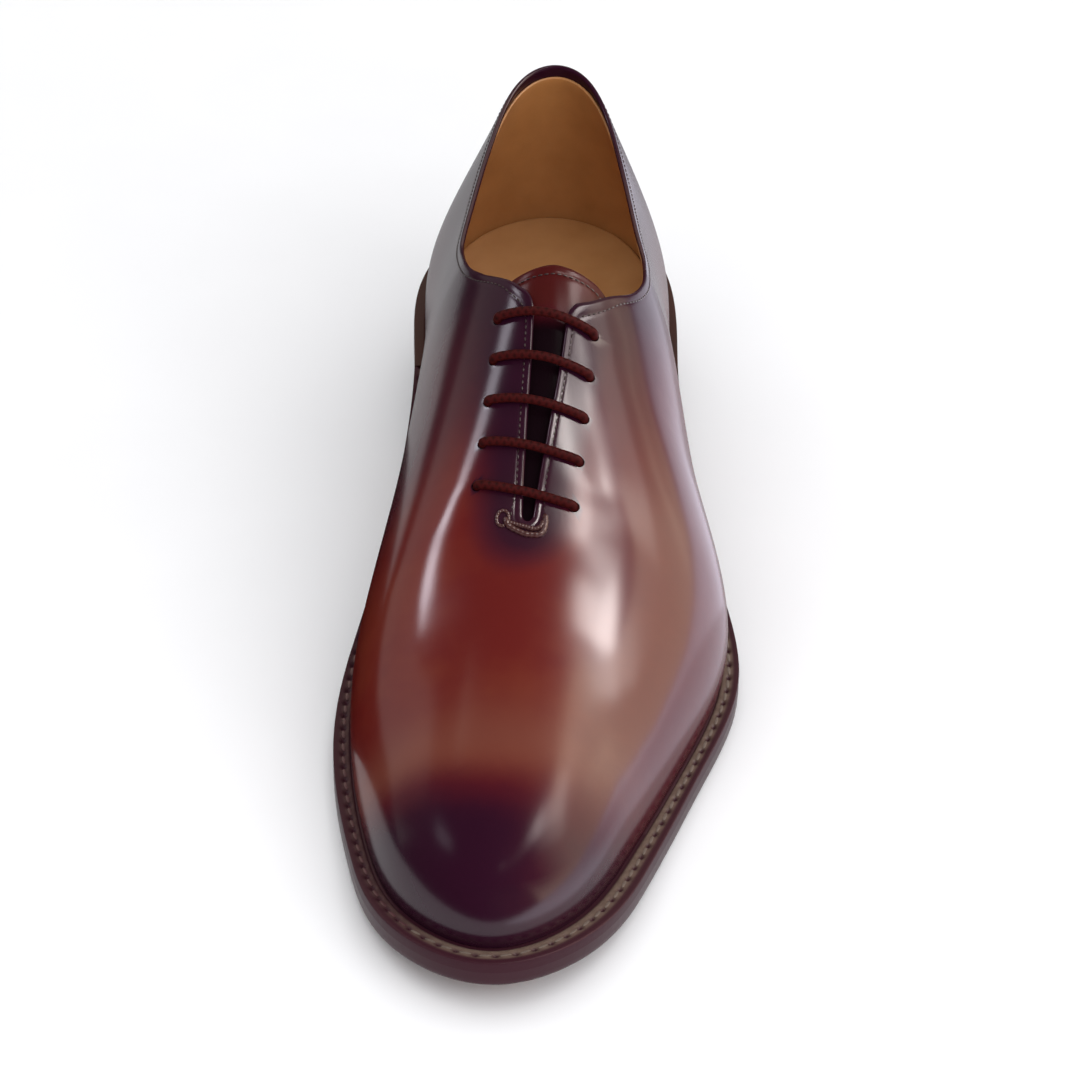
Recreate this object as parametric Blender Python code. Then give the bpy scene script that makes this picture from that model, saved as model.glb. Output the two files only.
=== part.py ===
"""Left dress shoe: a wholecut oxford with a welted leather sole and a stacked heel.

Lengths are in millimetres until an object's mesh is written, in metres. x runs from the medial
side (-) to the lateral side (+), y from the toe (-) to the heel (+) and z up from the floor.
The tables give places along the shoe as the distance from the toe tip of the sole.
"""

import math

import bmesh
import bpy
import numpy as np

MM = 0.001

# Driving sizes of the shoe.
SOLE_LENGTH = 308.0
BALL_WIDTH = 108.0
OUTSOLE_THICKNESS = 4.8
WELT_THICKNESS = 3.0
UPPER_WALL = 2.2
INSOLE_ABOVE_WELT = 2.0
INSOLE_GAP = 0.6
TOP_PIECE_HEIGHT = 6.5
HEEL_BREAST = 232.0
HEEL_BREAST_HOLLOW = 6.0
SEAT_GAP = 0.3

# Length and width of the sole that the tables below are drawn for.
TABLE_LENGTH = 308.0
TABLE_WIDTH = 108.0

# The last, cut by ribs that rise from the feather line, where upper meets welt, to a crown line.
# along: distance from the toe; medial and lateral: x of the feather line on each side; lean: outward
# push of the wall above it; margin: how far the sole stands out past it; crown: where on the crown
# line the rib ends; rise: height of the upright part of the wall; spread and drop: reach and fall of
# the surface beside the crown line.
LAST_COLUMNS = (
    "along", "medial", "lateral", "medial_lean", "lateral_lean", "medial_margin", "lateral_margin",
    "crown", "rise", "spread", "drop",
)
LAST_RIBS = {
    "toe_tip": (6.5, -5.5, -5.5, 1.5, 1.5, 6.5, 6.5, 120.0, 32.0, 55.0, -4.0),
    "toe_corner": (17.0, -25.0, 12.0, 1.5, 1.5, 5.8, 6.6, 121.0, 30.0, 52.0, -3.7),
    "vamp": (50.0, -39.8, 28.5, 1.5, 1.5, 4.6, 6.0, 126.0, 28.0, 46.0, -2.8),
    "joint": (92.0, -46.6, 43.2, 2.6, 4.2, 4.8, 4.8, 136.0, 27.0, 41.0, -1.2),
    "ball": (130.0, -46.4, 51.4, 2.0, 8.5, 3.2, 5.0, 150.0, 27.5, 32.0, 0.0),
    "waist_front": (165.0, -41.2, 45.0, 1.6, 4.2, 2.2, 3.8, 166.0, 30.0, 26.5, 0.0),
    "waist": (200.0, -36.4, 37.6, 3.2, 5.0, 2.8, 3.4, 188.0, 34.0, 22.0, 2.0),
    "quarter": (235.0, -34.8, 34.0, 4.4, 3.8, 3.5, 3.0, 218.0, 32.0, 12.0, 8.0),
    "heel": (268.0, -35.4, 32.0, 4.4, 4.5, 3.6, 3.0, 252.0, 28.0, 3.0, 16.0),
    "heel_corner": (294.0, -24.0, 21.5, 2.6, 3.4, 3.2, 3.2, 276.0, 28.0, 13.0, 24.0),
    "heel_back": (304.8, -1.5, -1.5, 5.5, 5.5, 3.2, 3.2, 284.0, 28.0, 20.0, 28.0),
}

# Crown line of the last: along, x, height.
CROWN_LINE = (
    (90.0, -2.5, 52.0),
    (120.0, -1.7, 66.0),
    (140.0, -0.2, 80.0),
    (160.0, 1.5, 93.5),
    (178.0, 2.2, 105.0),
    (200.0, 1.5, 116.0),
    (225.0, 0.0, 121.0),
    (260.0, -1.5, 122.5),
    (300.0, -1.5, 123.0),
)

# Underside of the sole, with toe spring, a flat tread, the arch and the heel seat: along, height.
SOLE_UNDERSIDE = (
    (0.0, 9.0),
    (20.0, 5.4),
    (40.0, 2.4),
    (60.0, 0.5),
    (72.0, 0.0),
    (118.0, 0.0),
    (130.0, 0.5),
    (160.0, 6.0),
    (190.0, 14.0),
    (212.0, 20.0),
    (226.0, 22.9),
    (240.0, 23.54),
    (274.0, 25.07),
    (308.0, 26.6),
)

# Top line of the quarters, seen from the side: along, lateral height, medial height.
TOP_LINE = (
    (160.0, 98.8, 103.5),
    (176.0, 97.0, 102.5),
    (188.0, 91.5, 95.8),
    (200.0, 87.0, 90.0),
    (225.0, 80.5, 82.5),
    (255.0, 78.0, 83.5),
    (280.0, 82.5, 86.5),
    (300.0, 90.5, 90.5),
    (320.0, 96.0, 96.0),
)

# Lacing slit: along, half width. Its foot is round.
SLIT = ((119.0, 1.3), (178.0, 4.8), (200.0, 5.0), (210.0, -9.0))
SLIT_FOOT = 119.0
FACING_CORNER_ROUND = 3.2

# Lacing: bars, evenly spaced from the foot of the slit to the top.
LACE_DIAMETER = 2.5
LACE_BARS = 5
FIRST_BAR = 125.2
LAST_BAR = 166.8
BAR_SKEW = 2.2
EYELET_MEDIAL = 14.0
EYELET_LATERAL = 11.8
LACE_SIDES = 8
LACE_STEPS = 12

# Tongue.
TONGUE_FOOT = 112.0
TONGUE_TOP = 180.5
TONGUE_HALF_WIDTH = ((112.0, 15.0), (160.0, 19.5), (180.5, 21.0))
TONGUE_CORNER = 10.0
TONGUE_THICKNESS = 1.8
TONGUE_GAP = 0.4

# Facets.
AROUND = 104
UP_THE_WALL = 12
STATIONS = 56
HEEL_POINTS = 32
BREAST_POINTS = 8


def smooth_table(rows, at, column=1):
    """Value of a table's column at places along its first one, with no overshoot between rows."""
    table = np.array(rows, float)
    places, values = table[:, 0], table[:, column]
    step = np.diff(places)
    slope = np.diff(values) / step
    tangent = np.empty(len(values))
    tangent[0], tangent[-1] = slope[0], slope[-1]
    for i in range(1, len(slope)):
        if slope[i - 1] * slope[i] <= 0:
            tangent[i] = 0.0
        else:
            before, after = 2 * step[i] + step[i - 1], step[i] + 2 * step[i - 1]
            tangent[i] = (before + after) / (before / slope[i - 1] + after / slope[i])
    at = np.clip(np.asarray(at, float), places[0], places[-1])
    i = np.clip(np.searchsorted(places, at, side="right") - 1, 0, len(slope) - 1)
    t = (at - places[i]) / step[i]
    start, end = values[i], values[i + 1]
    lift = tangent[i] * step[i] * t * (1 - t) ** 2 - tangent[i + 1] * step[i] * t**2 * (1 - t)
    return start + (end - start) * t * t * (3 - 2 * t) + lift


class Ring:
    """Smooth closed curve of any number of columns through rows, by distance round the first two."""

    def __init__(self, rows):
        self.rows = np.array(rows, float)
        ahead = np.roll(self.rows, -1, axis=0)
        chord = np.linalg.norm((ahead - self.rows)[:, :2], axis=1)
        self.step = chord / chord.sum()
        self.knots = np.concatenate([[0.0], np.cumsum(self.step)])
        count = len(self.rows)
        slope = (ahead - self.rows) / self.step[:, None]
        matrix = np.zeros((count, count))
        for i in range(count):
            matrix[i, i - 1] += self.step[i - 1]
            matrix[i, i] += 2 * (self.step[i - 1] + self.step[i])
            matrix[i, (i + 1) % count] += self.step[i]
        self.bend = np.linalg.solve(matrix, 6 * (slope - np.roll(slope, 1, axis=0)))

    def __call__(self, turn):
        turn = np.mod(np.asarray(turn, float), 1.0)
        i = np.clip(np.searchsorted(self.knots, turn, side="right") - 1, 0, len(self.rows) - 1)
        j = (i + 1) % len(self.rows)
        step = self.step[i]
        b = ((turn - self.knots[i]) / step)[..., None]
        a = 1 - b
        curve = (a**3 - a) * self.bend[i] + (b**3 - b) * self.bend[j]
        return a * self.rows[i] + b * self.rows[j] + curve * (step**2 / 6)[..., None]


def rib_rows():
    """Rows of the last's ribs round the shoe, from the toe tip by the lateral side to the heel and back."""
    names = list(LAST_RIBS)
    around = [(name, "lateral") for name in names]
    around += [(name, "medial") for name in reversed(names[1:-1])]
    rows = []
    for name, side in around:
        rib = dict(zip(LAST_COLUMNS, LAST_RIBS[name]))
        sided = [rib[side], rib["along"], rib[side + "_lean"], rib[side + "_margin"]]
        rows.append(sided + [rib[column] for column in LAST_COLUMNS[7:]])
    return rows


RIBS = Ring(rib_rows())
TURN_STEP = 1e-4


def underside(along):
    """Height of the outsole's underside."""
    return smooth_table(SOLE_UNDERSIDE, along)


def outsole_top(along):
    return underside(along) + OUTSOLE_THICKNESS


def welt_top(along):
    return outsole_top(along) + SEAT_GAP + WELT_THICKNESS


def feather_height(along):
    """Height at which the upper's wall starts, just clear of the welt."""
    return welt_top(along) + SEAT_GAP


def outward(turn):
    """Unit plan normal of the feather line, pointing out of the shoe."""
    run = RIBS(np.asarray(turn) + TURN_STEP)[..., :2] - RIBS(np.asarray(turn) - TURN_STEP)[..., :2]
    normal = np.stack([run[..., 1], -run[..., 0]], -1)
    return normal / np.linalg.norm(normal, axis=-1, keepdims=True)


def plan_line(turn, offset):
    """Plan points (x, along) beside the feather line, offset outwards."""
    return RIBS(turn)[..., :2] + outward(turn) * np.asarray(offset)[..., None]


def sole_line(turn, inset=0.0):
    """Plan points of the sole's edge."""
    return plan_line(turn, RIBS(turn)[..., 3] - inset)


def last_point(turn, height):
    """Points (x, along, z) of the last: turn goes round the shoe, height from feather (0) to crown (1)."""
    turn, height = np.broadcast_arrays(np.asarray(turn, float), np.asarray(height, float))
    rib = RIBS(turn)
    x, along, lean, _, crown, rise, spread, drop = np.moveaxis(rib, -1, 0)
    out = outward(turn)
    foot = np.stack([x, along, feather_height(along)], -1)
    foot_pull = foot + np.stack([out[..., 0] * lean, out[..., 1] * lean, rise], -1)
    crown_x = smooth_table(CROWN_LINE, crown, 1)
    crown_z = smooth_table(CROWN_LINE, crown, 2)
    top = np.stack([crown_x, crown, crown_z], -1)
    away = foot[..., :2] - top[..., :2]
    away = away / np.linalg.norm(away, axis=-1, keepdims=True)
    slope = (smooth_table(CROWN_LINE, crown + 1, 2) - smooth_table(CROWN_LINE, crown - 1, 2)) / 2
    fall = slope * spread * away[..., 1] - drop
    top_pull = top + np.stack([away[..., 0] * spread, away[..., 1] * spread, fall], -1)
    t = height[..., None]
    return (
        foot * (1 - t) ** 3
        + foot_pull * (3 * t * (1 - t) ** 2)
        + top_pull * (3 * t**2 * (1 - t))
        + top * t**3
    )


def last_normal(turn, height):
    """Unit normals of the last, pointing out."""
    d = 1e-3
    height = np.asarray(height, float)
    low, high = np.maximum(height - d, 0), np.minimum(height + d, 1)
    up = last_point(turn, high) - last_point(turn, low)
    run = last_point(np.asarray(turn) + TURN_STEP, height) - last_point(np.asarray(turn) - TURN_STEP, height)
    normal = np.cross(run, up)
    return normal / np.linalg.norm(normal, axis=-1, keepdims=True)


def opening_depth(point):
    """How far a point lies inside the collar and lacing slit, in millimetres, below zero on leather."""
    x, along, z = point[..., 0], point[..., 1], point[..., 2]
    beside = x - smooth_table(CROWN_LINE, along, 1)
    side = np.clip(beside / 20.0, -1, 1) / 2 + 0.5
    top_line = smooth_table(TOP_LINE, along, 1) * side + smooth_table(TOP_LINE, along, 2) * (1 - side)
    collar = (z - top_line) * 0.8
    half = smooth_table(SLIT, along)
    behind_foot = SLIT_FOOT + half - along
    slit = half - np.hypot(beside, np.maximum(behind_foot, 0))
    blend = np.maximum(FACING_CORNER_ROUND - np.abs(collar - slit), 0)
    return np.maximum(collar, slit) + blend**2 / (4 * FACING_CORNER_ROUND)


def opening_height(turn):
    """Height on each rib at which the leather ends, at the collar or the slit."""
    steps = np.linspace(0.2, 1.0, 801)
    depth = opening_depth(last_point(np.asarray(turn)[:, None], steps[None, :]))
    inside = depth > 0
    first = np.argmax(inside, axis=1)
    first[~inside.any(axis=1)] = len(steps) - 1
    before = np.maximum(first - 1, 0)
    rows = np.arange(len(first))
    d0, d1 = depth[rows, before], depth[rows, first]
    share = np.clip(-d0 / np.where(d1 == d0, 1, d1 - d0), 0, 1)
    return steps[before] + (steps[first] - steps[before]) * share


def sole_centre():
    """Middle of the sole's plan box, which is the origin of the part."""
    line = sole_line(np.linspace(0, 1, 4000, endpoint=False))
    return (line.min(axis=0) + line.max(axis=0)) / 2


def to_metres(points):
    """Part-frame metres of points given as x, along, z in millimetres."""
    points = np.array(points, float)
    points[..., :2] -= SOLE_CENTRE
    points[..., 0] *= BALL_WIDTH / TABLE_WIDTH
    points[..., 1] *= SOLE_LENGTH / TABLE_LENGTH
    return points * MM


SOLE_CENTRE = sole_centre()


def leather(name, colour, roughness):
    material = bpy.data.materials.new(name)
    material.use_nodes = True
    shader = material.node_tree.nodes["Principled BSDF"]
    shader.inputs["Base Color"].default_value = (*colour, 1)
    shader.inputs["Roughness"].default_value = roughness
    return material


def add_object(name, bm, material):
    """Writes a bmesh as a named object with outward faces."""
    bmesh.ops.recalc_face_normals(bm, faces=bm.faces)
    mesh = bpy.data.meshes.new(name)
    bm.to_mesh(mesh)
    bm.free()
    mesh.shade_smooth()
    mesh.set_sharp_from_angle(angle=math.radians(35))
    mesh.materials.append(material)
    thing = bpy.data.objects.new(name, mesh)
    bpy.context.scene.collection.objects.link(thing)
    return thing


def grid_faces(bm, grid, closed_rows=False, closed_columns=False):
    """Quads over a grid of vertices, wrapped round where it is closed."""
    rows, columns = len(grid), len(grid[0])
    for i in range(rows if closed_rows else rows - 1):
        for j in range(columns if closed_columns else columns - 1):
            a, b = grid[i][j], grid[(i + 1) % rows][j]
            c, d = grid[(i + 1) % rows][(j + 1) % columns], grid[i][(j + 1) % columns]
            bm.faces.new((a, b, c, d))


def new_verts(bm, points):
    """Vertices at an array of points in millimetres, in the same layout."""
    metres = to_metres(points)
    return [[bm.verts.new(p) for p in row] for row in metres]


def loft(name, sections, material, closed=False):
    """Solid through closed sections of equal count; its ends are capped unless it closes on itself."""
    bm = bmesh.new()
    grid = new_verts(bm, sections)
    grid_faces(bm, grid, closed_rows=closed, closed_columns=True)
    if not closed:
        bm.faces.new(grid[0])
        bm.faces.new(reversed(grid[-1]))
    return add_object(name, bm, material)


def upper_turns():
    """Turns of the upper's ribs, closer together beside the corners of the facings."""
    turn = np.linspace(0, 1, 4001)
    weight = 1 + 2.5 * np.exp(-(((RIBS(turn)[:, 4] - 176.0) / 9.0) ** 2))
    total = np.concatenate([[0.0], np.cumsum((weight[1:] + weight[:-1]) / 2)])
    return np.interp(np.arange(AROUND) / AROUND, total / total[-1], turn)


def make_upper(material):
    """Wholecut upper: one hollow wall, open at collar and slit and underneath."""
    turn = upper_turns()
    height = opening_height(turn)[:, None] * np.linspace(0, 1, UP_THE_WALL + 1)[None, :]
    outer = last_point(turn[:, None], height)
    inner = outer - last_normal(turn[:, None], height) * UPPER_WALL
    inner[:, 0, 2] = feather_height(inner[:, 0, 1])
    sections = np.concatenate([outer, inner[:, ::-1]], axis=1)
    return loft("upper", sections, material, closed=True)


def breast_turns():
    """Turns at which the feather line passes the heel breast on the lateral and the medial side."""
    turn = np.linspace(0, 1, 4001)
    along = RIBS(turn)[:, 1]
    half = len(turn) // 2
    lateral = np.interp(HEEL_BREAST, along[: half - 200], turn[: half - 200])
    medial = np.interp(HEEL_BREAST, along[: half + 200 : -1], turn[: half + 200 : -1])
    return lateral, medial


def make_strip(name, turns, material):
    """Welt or rand: a flat leather strip along the feather line, its top edge rounded off."""
    margin = RIBS(turns)[:, 3]
    reach = [margin * 0 - UPPER_WALL, margin - 0.9, margin, margin, margin * 0 - UPPER_WALL]
    below_top = [0.0, 0.0, 0.9, WELT_THICKNESS, WELT_THICKNESS]
    corners = []
    for offset, down in zip(reach, below_top):
        plan = plan_line(turns, offset)
        corners.append(np.concatenate([plan, (welt_top(plan[:, 1]) - down)[:, None]], axis=1))
    return loft(name, np.stack(corners, axis=1), material)


def outline_sides(line):
    """Medial and lateral x at evenly shared stations along a closed plan outline, and those stations."""
    line = np.roll(line, -np.argmin(line[:, 1]), axis=0)
    hindmost = np.argmax(line[:, 1])
    lateral = line[: hindmost + 1]
    medial = np.concatenate([line[hindmost:], line[:1]])[::-1]
    share = (1 - np.cos(np.pi * np.linspace(0.02, 0.98, STATIONS))) / 2
    along = lateral[0, 1] + (lateral[-1, 1] - lateral[0, 1]) * share
    return np.interp(along, medial[:, 1], medial[:, 0]), np.interp(along, lateral[:, 1], lateral[:, 0]), along


def make_slab(name, edges, material):
    """Sole layer through outlines from its top to its underside: plan line and height of each."""
    medial_side, lateral_side = [], []
    for line, height in edges:
        medial, lateral, along = outline_sides(line)
        medial_side.append(np.stack([medial, along, height(along)], -1))
        lateral_side.append(np.stack([lateral, along, height(along)], -1))
    return loft(name, np.stack(lateral_side + medial_side[::-1], axis=1), material)


def make_outsole(material):
    turn = np.linspace(0, 1, 2000, endpoint=False)
    edges = [
        (sole_line(turn, 0.5), outsole_top),
        (sole_line(turn), lambda along: outsole_top(along) - 0.7),
        (sole_line(turn), lambda along: underside(along) + 1.4),
        (sole_line(turn, 1.2), underside),
    ]
    return make_slab("outsole", edges, material)


def make_insole(material):
    turn = np.linspace(0, 1, 2000, endpoint=False)
    line = plan_line(turn, np.full(len(turn), -UPPER_WALL - INSOLE_GAP))
    edges = [
        (line, lambda along: welt_top(along) + INSOLE_ABOVE_WELT),
        (line, lambda along: outsole_top(along) + SEAT_GAP),
    ]
    return make_slab("insole", edges, material)


def heel_ring(inset, height):
    """Closed line round the heel: its curved edge, then its hollow breast."""
    lateral, medial = breast_turns()
    edge = sole_line(np.linspace(lateral, medial, HEEL_POINTS), inset)
    across = np.linspace(-1, 1, BREAST_POINTS + 2)[1:-1, None]
    middle, half = (edge[0] + edge[-1]) / 2, (edge[0] - edge[-1]) / 2
    breast = middle + half * across
    breast[:, 1] += HEEL_BREAST_HOLLOW * (1 - across[:, 0] ** 2)
    ring = np.concatenate([edge, breast])
    return np.concatenate([ring, height(ring[:, 1])[:, None]], axis=1)


def make_heel(stack, rubber):
    """Leather heel stack under the seat and the rubber top piece that stands on the floor."""
    low = TOP_PIECE_HEIGHT
    rings = [
        heel_ring(0.5, lambda along: underside(along) - SEAT_GAP),
        heel_ring(1.6, lambda along: along * 0 + 13.0),
        heel_ring(2.2, lambda along: along * 0 + low + SEAT_GAP),
    ]
    loft("heel_stack", np.stack(rings), stack)
    rings = [
        heel_ring(2.2, lambda along: along * 0 + low),
        heel_ring(2.2, lambda along: along * 0 + 0.8),
        heel_ring(3.0, lambda along: along * 0),
    ]
    loft("heel_top_piece", np.stack(rings), rubber)


def locate(x, along):
    """Turn and height at which the last passes plan places (x, along) on its upper side."""
    x, along = np.broadcast_arrays(np.asarray(x, float), np.asarray(along, float))
    shape, target = x.shape, np.stack([x.ravel(), along.ravel()], -1)
    lateral = target[:, 0] >= smooth_table(CROWN_LINE, target[:, 1], 1)
    turns, heights = np.linspace(0, 0.5, 121), np.linspace(0.3, 0.99, 40)
    start = np.empty((len(target), 2))
    for side in (True, False):
        turn, height = np.meshgrid(turns if side else 1 - turns, heights, indexing="ij")
        plan = last_point(turn, height)[..., :2].reshape(-1, 2)
        pick = np.flatnonzero(lateral == side)
        gap = np.linalg.norm(target[pick, None] - plan[None], axis=2)
        best = np.argmin(gap, axis=1)
        start[pick, 0], start[pick, 1] = turn.ravel()[best], height.ravel()[best]
    turn, height = start.T
    for _ in range(10):
        here = last_point(turn, height)[:, :2]
        by_turn = (last_point(turn + 1e-4, height)[:, :2] - here) / 1e-4
        by_height = (here - last_point(turn, height - 1e-4)[:, :2]) / 1e-4
        miss = target - here
        cross = by_turn[:, 0] * by_height[:, 1] - by_turn[:, 1] * by_height[:, 0]
        cross = np.where(np.abs(cross) < 1.0, np.copysign(1.0, cross), cross)
        turn_step = (miss[:, 0] * by_height[:, 1] - miss[:, 1] * by_height[:, 0]) / cross
        height_step = (by_turn[:, 0] * miss[:, 1] - by_turn[:, 1] * miss[:, 0]) / cross
        turn = turn + np.clip(turn_step, -0.02, 0.02)
        height = np.clip(height + np.clip(height_step, -0.05, 0.05), 0.1, 1.0)
    return turn.reshape(shape), height.reshape(shape)


def over_last(x, along, offset):
    """Points over (+) or under (-) the last's surface at plan places."""
    turn, height = locate(x, along)
    return last_point(turn, height) + last_normal(turn, height) * np.asarray(offset)[..., None]


def make_tongue(material):
    """Tongue under the facings, its top corners rounded."""
    share = np.sin(np.pi / 2 * np.linspace(0, 1, 19))
    along = TONGUE_FOOT + (TONGUE_TOP - TONGUE_FOOT) * share
    into_corner = np.clip((along - TONGUE_TOP) / TONGUE_CORNER + 1, 0, 1)
    half = smooth_table(TONGUE_HALF_WIDTH, along) - TONGUE_CORNER * (1 - np.sqrt(1 - into_corner**2))
    across = np.linspace(-1, 1, 15)
    x = smooth_table(CROWN_LINE, along, 1)[:, None] + half[:, None] * across[None, :]
    depth = UPPER_WALL + TONGUE_GAP
    outer = over_last(x, along[:, None] + 0 * x, np.full(x.shape, -depth))
    inner = over_last(x, along[:, None] + 0 * x, np.full(x.shape, -depth - TONGUE_THICKNESS))
    return loft("tongue", np.concatenate([outer, inner[:, ::-1]], axis=1), material)


def lace_path(bar):
    """Centre line of one lace bar, resting on the facings and straight over the slit."""
    along = FIRST_BAR + (LAST_BAR - FIRST_BAR) * bar / (LACE_BARS - 1)
    share = np.linspace(-1, 1, LACE_STEPS + 1)
    offset = np.where(share < 0, share * EYELET_MEDIAL, share * EYELET_LATERAL)
    lift = LACE_DIAMETER / 2 + SEAT_GAP + 0.15
    place = along - BAR_SKEW * share
    return over_last(smooth_table(CROWN_LINE, place, 1) + offset, place, np.full(len(share), lift))


def make_lace_bar(name, bar, material):
    path = lace_path(bar)
    run = np.gradient(path, axis=0)
    run /= np.linalg.norm(run, axis=1, keepdims=True)
    up = np.cross(run, np.cross(np.array([0.0, -0.55, 0.83]), run))
    up /= np.linalg.norm(up, axis=1, keepdims=True)
    side = np.cross(run, up)
    angle = 2 * np.pi * np.arange(LACE_SIDES) / LACE_SIDES
    radius = np.full(len(path), LACE_DIAMETER / 2)
    radius[[0, -1]] *= 0.7
    ring = up[:, None] * np.cos(angle)[None, :, None] + side[:, None] * np.sin(angle)[None, :, None]
    return loft(name, path[:, None] + ring * radius[:, None, None], material)


def clear_scene():
    for thing in list(bpy.data.objects):
        bpy.data.objects.remove(thing)


def main():
    clear_scene()
    make_upper(leather("burnished_calf", (0.115, 0.026, 0.020), 0.22))
    make_tongue(leather("tongue_calf", (0.070, 0.014, 0.012), 0.30))
    make_insole(leather("insole_leather", (0.42, 0.22, 0.10), 0.60))
    lateral, medial = breast_turns()
    welt_leather = leather("welt_leather", (0.060, 0.022, 0.014), 0.45)
    split = 0.0004
    make_strip("welt", np.linspace(medial + split, lateral + 1 - split, 84), welt_leather)
    rand_leather = leather("rand_leather", (0.045, 0.016, 0.011), 0.40)
    make_strip("heel_rand", np.linspace(lateral + split, medial - split, 28), rand_leather)
    make_outsole(leather("outsole_leather", (0.16, 0.050, 0.018), 0.35))
    heel_leather = leather("heel_leather", (0.040, 0.014, 0.010), 0.40)
    make_heel(heel_leather, leather("heel_rubber", (0.012, 0.012, 0.013), 0.70))
    waxed_cotton = leather("waxed_cotton", (0.045, 0.012, 0.010), 0.55)
    for bar in range(LACE_BARS):
        make_lace_bar(f"lace_bar_{bar + 1}", bar, waxed_cotton)


main()
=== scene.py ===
"""Left dress shoe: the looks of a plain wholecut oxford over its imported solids.

Lengths are millimetres until a mesh is written, in metres. Places are (x, along, z): x runs from the
medial side (-) to the lateral side (+), along from the toe tip of the sole to the heel, z up from the
floor. A turn goes once round the shoe, from the toe by the lateral side to the heel (0.5) and back.
"""

import logging
import math
from collections.abc import Sequence
from dataclasses import dataclass, replace
from enum import Enum

import bmesh
import bpy
import numpy as np
from mathutils import Matrix, Vector


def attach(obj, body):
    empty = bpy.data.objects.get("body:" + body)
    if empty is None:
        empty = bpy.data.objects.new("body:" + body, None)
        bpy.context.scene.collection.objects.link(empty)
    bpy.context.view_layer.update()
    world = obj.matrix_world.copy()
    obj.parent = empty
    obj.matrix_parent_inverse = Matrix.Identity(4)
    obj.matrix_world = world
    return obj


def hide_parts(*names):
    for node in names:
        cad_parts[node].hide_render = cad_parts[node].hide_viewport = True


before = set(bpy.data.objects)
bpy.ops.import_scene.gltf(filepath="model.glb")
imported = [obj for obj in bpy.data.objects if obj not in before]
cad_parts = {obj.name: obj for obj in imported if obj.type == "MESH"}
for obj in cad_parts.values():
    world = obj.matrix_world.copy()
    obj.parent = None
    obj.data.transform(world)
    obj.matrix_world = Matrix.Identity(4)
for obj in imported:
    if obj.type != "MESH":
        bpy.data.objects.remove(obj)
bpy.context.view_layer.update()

LOG = logging.getLogger("dress_shoe")
MM = 0.001
BODY = "root"
WELD = 2e-7
SHARP_ANGLE = math.radians(50)

Array = np.ndarray
Table = Sequence[Sequence[float]]
Span = tuple[float, float]


class Slot(Enum):
    """Finishes of the record that a piece can take."""

    UPPER = "upper"
    TONGUE = "tongue"
    INSOLE = "insole"
    WELT = "welt"
    OUTSOLE = "outsole"
    HEEL = "heel"
    TOP_PIECE = "top_piece"
    LACE = "lace"


class Side(Enum):
    """Sides of the shoe, by the sign of x."""

    MEDIAL = -1
    LATERAL = 1


# Numbers and curves.


def smoothstep(low: float, high: float, value: Array) -> Array:
    """Soft step from 0 at low to 1 at high."""
    share = np.clip((value - low) / (high - low), 0, 1)
    return share * share * (3 - 2 * share)


def bump(value: Array, width: float) -> Array:
    """Bell of height 1 round zero, with the given half width."""
    return np.exp(-((value / width) ** 2))


def smooth_table(rows: Table, at: Array, column: int = 1) -> Array:
    """Value of a table's column, with no overshoot between rows.

    Args:
        rows: table whose first column rises.
        at: places along the first column.
        column: column to read.

    Returns:
        The column's values at those places.
    """
    table = np.array(rows, float)
    places, values = table[:, 0], table[:, column]
    step = np.diff(places)
    slope = np.diff(values) / step
    tangent = np.empty(len(values))
    tangent[0], tangent[-1] = slope[0], slope[-1]
    for i in range(1, len(slope)):
        if slope[i - 1] * slope[i] <= 0:
            tangent[i] = 0.0
        else:
            before, after = 2 * step[i] + step[i - 1], step[i] + 2 * step[i - 1]
            tangent[i] = (before + after) / (before / slope[i - 1] + after / slope[i])
    at = np.clip(np.asarray(at, float), places[0], places[-1])
    i = np.clip(np.searchsorted(places, at, side="right") - 1, 0, len(slope) - 1)
    t = (at - places[i]) / step[i]
    start, end = values[i], values[i + 1]
    lift = tangent[i] * step[i] * t * (1 - t) ** 2 - tangent[i + 1] * step[i] * t**2 * (1 - t)
    return start + (end - start) * t * t * (3 - 2 * t) + lift


def run_length(path: Array) -> Array:
    """Distance from the start of a path to each of its points."""
    return np.concatenate([[0.0], np.cumsum(np.linalg.norm(np.diff(path, axis=0), axis=1))])


def smooth_path(points: Table, count: int) -> Array:
    """Evenly spaced points on a smooth curve through a few points."""
    points = np.array(points, float)
    rows = np.column_stack([run_length(points), points])
    at = np.linspace(0, rows[-1, 0], count)
    return np.stack([smooth_table(rows, at, column) for column in range(1, rows.shape[1])], -1)


def unit(vectors: Array) -> Array:
    """Vectors of length one."""
    return vectors / np.linalg.norm(vectors, axis=-1, keepdims=True)


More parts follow.
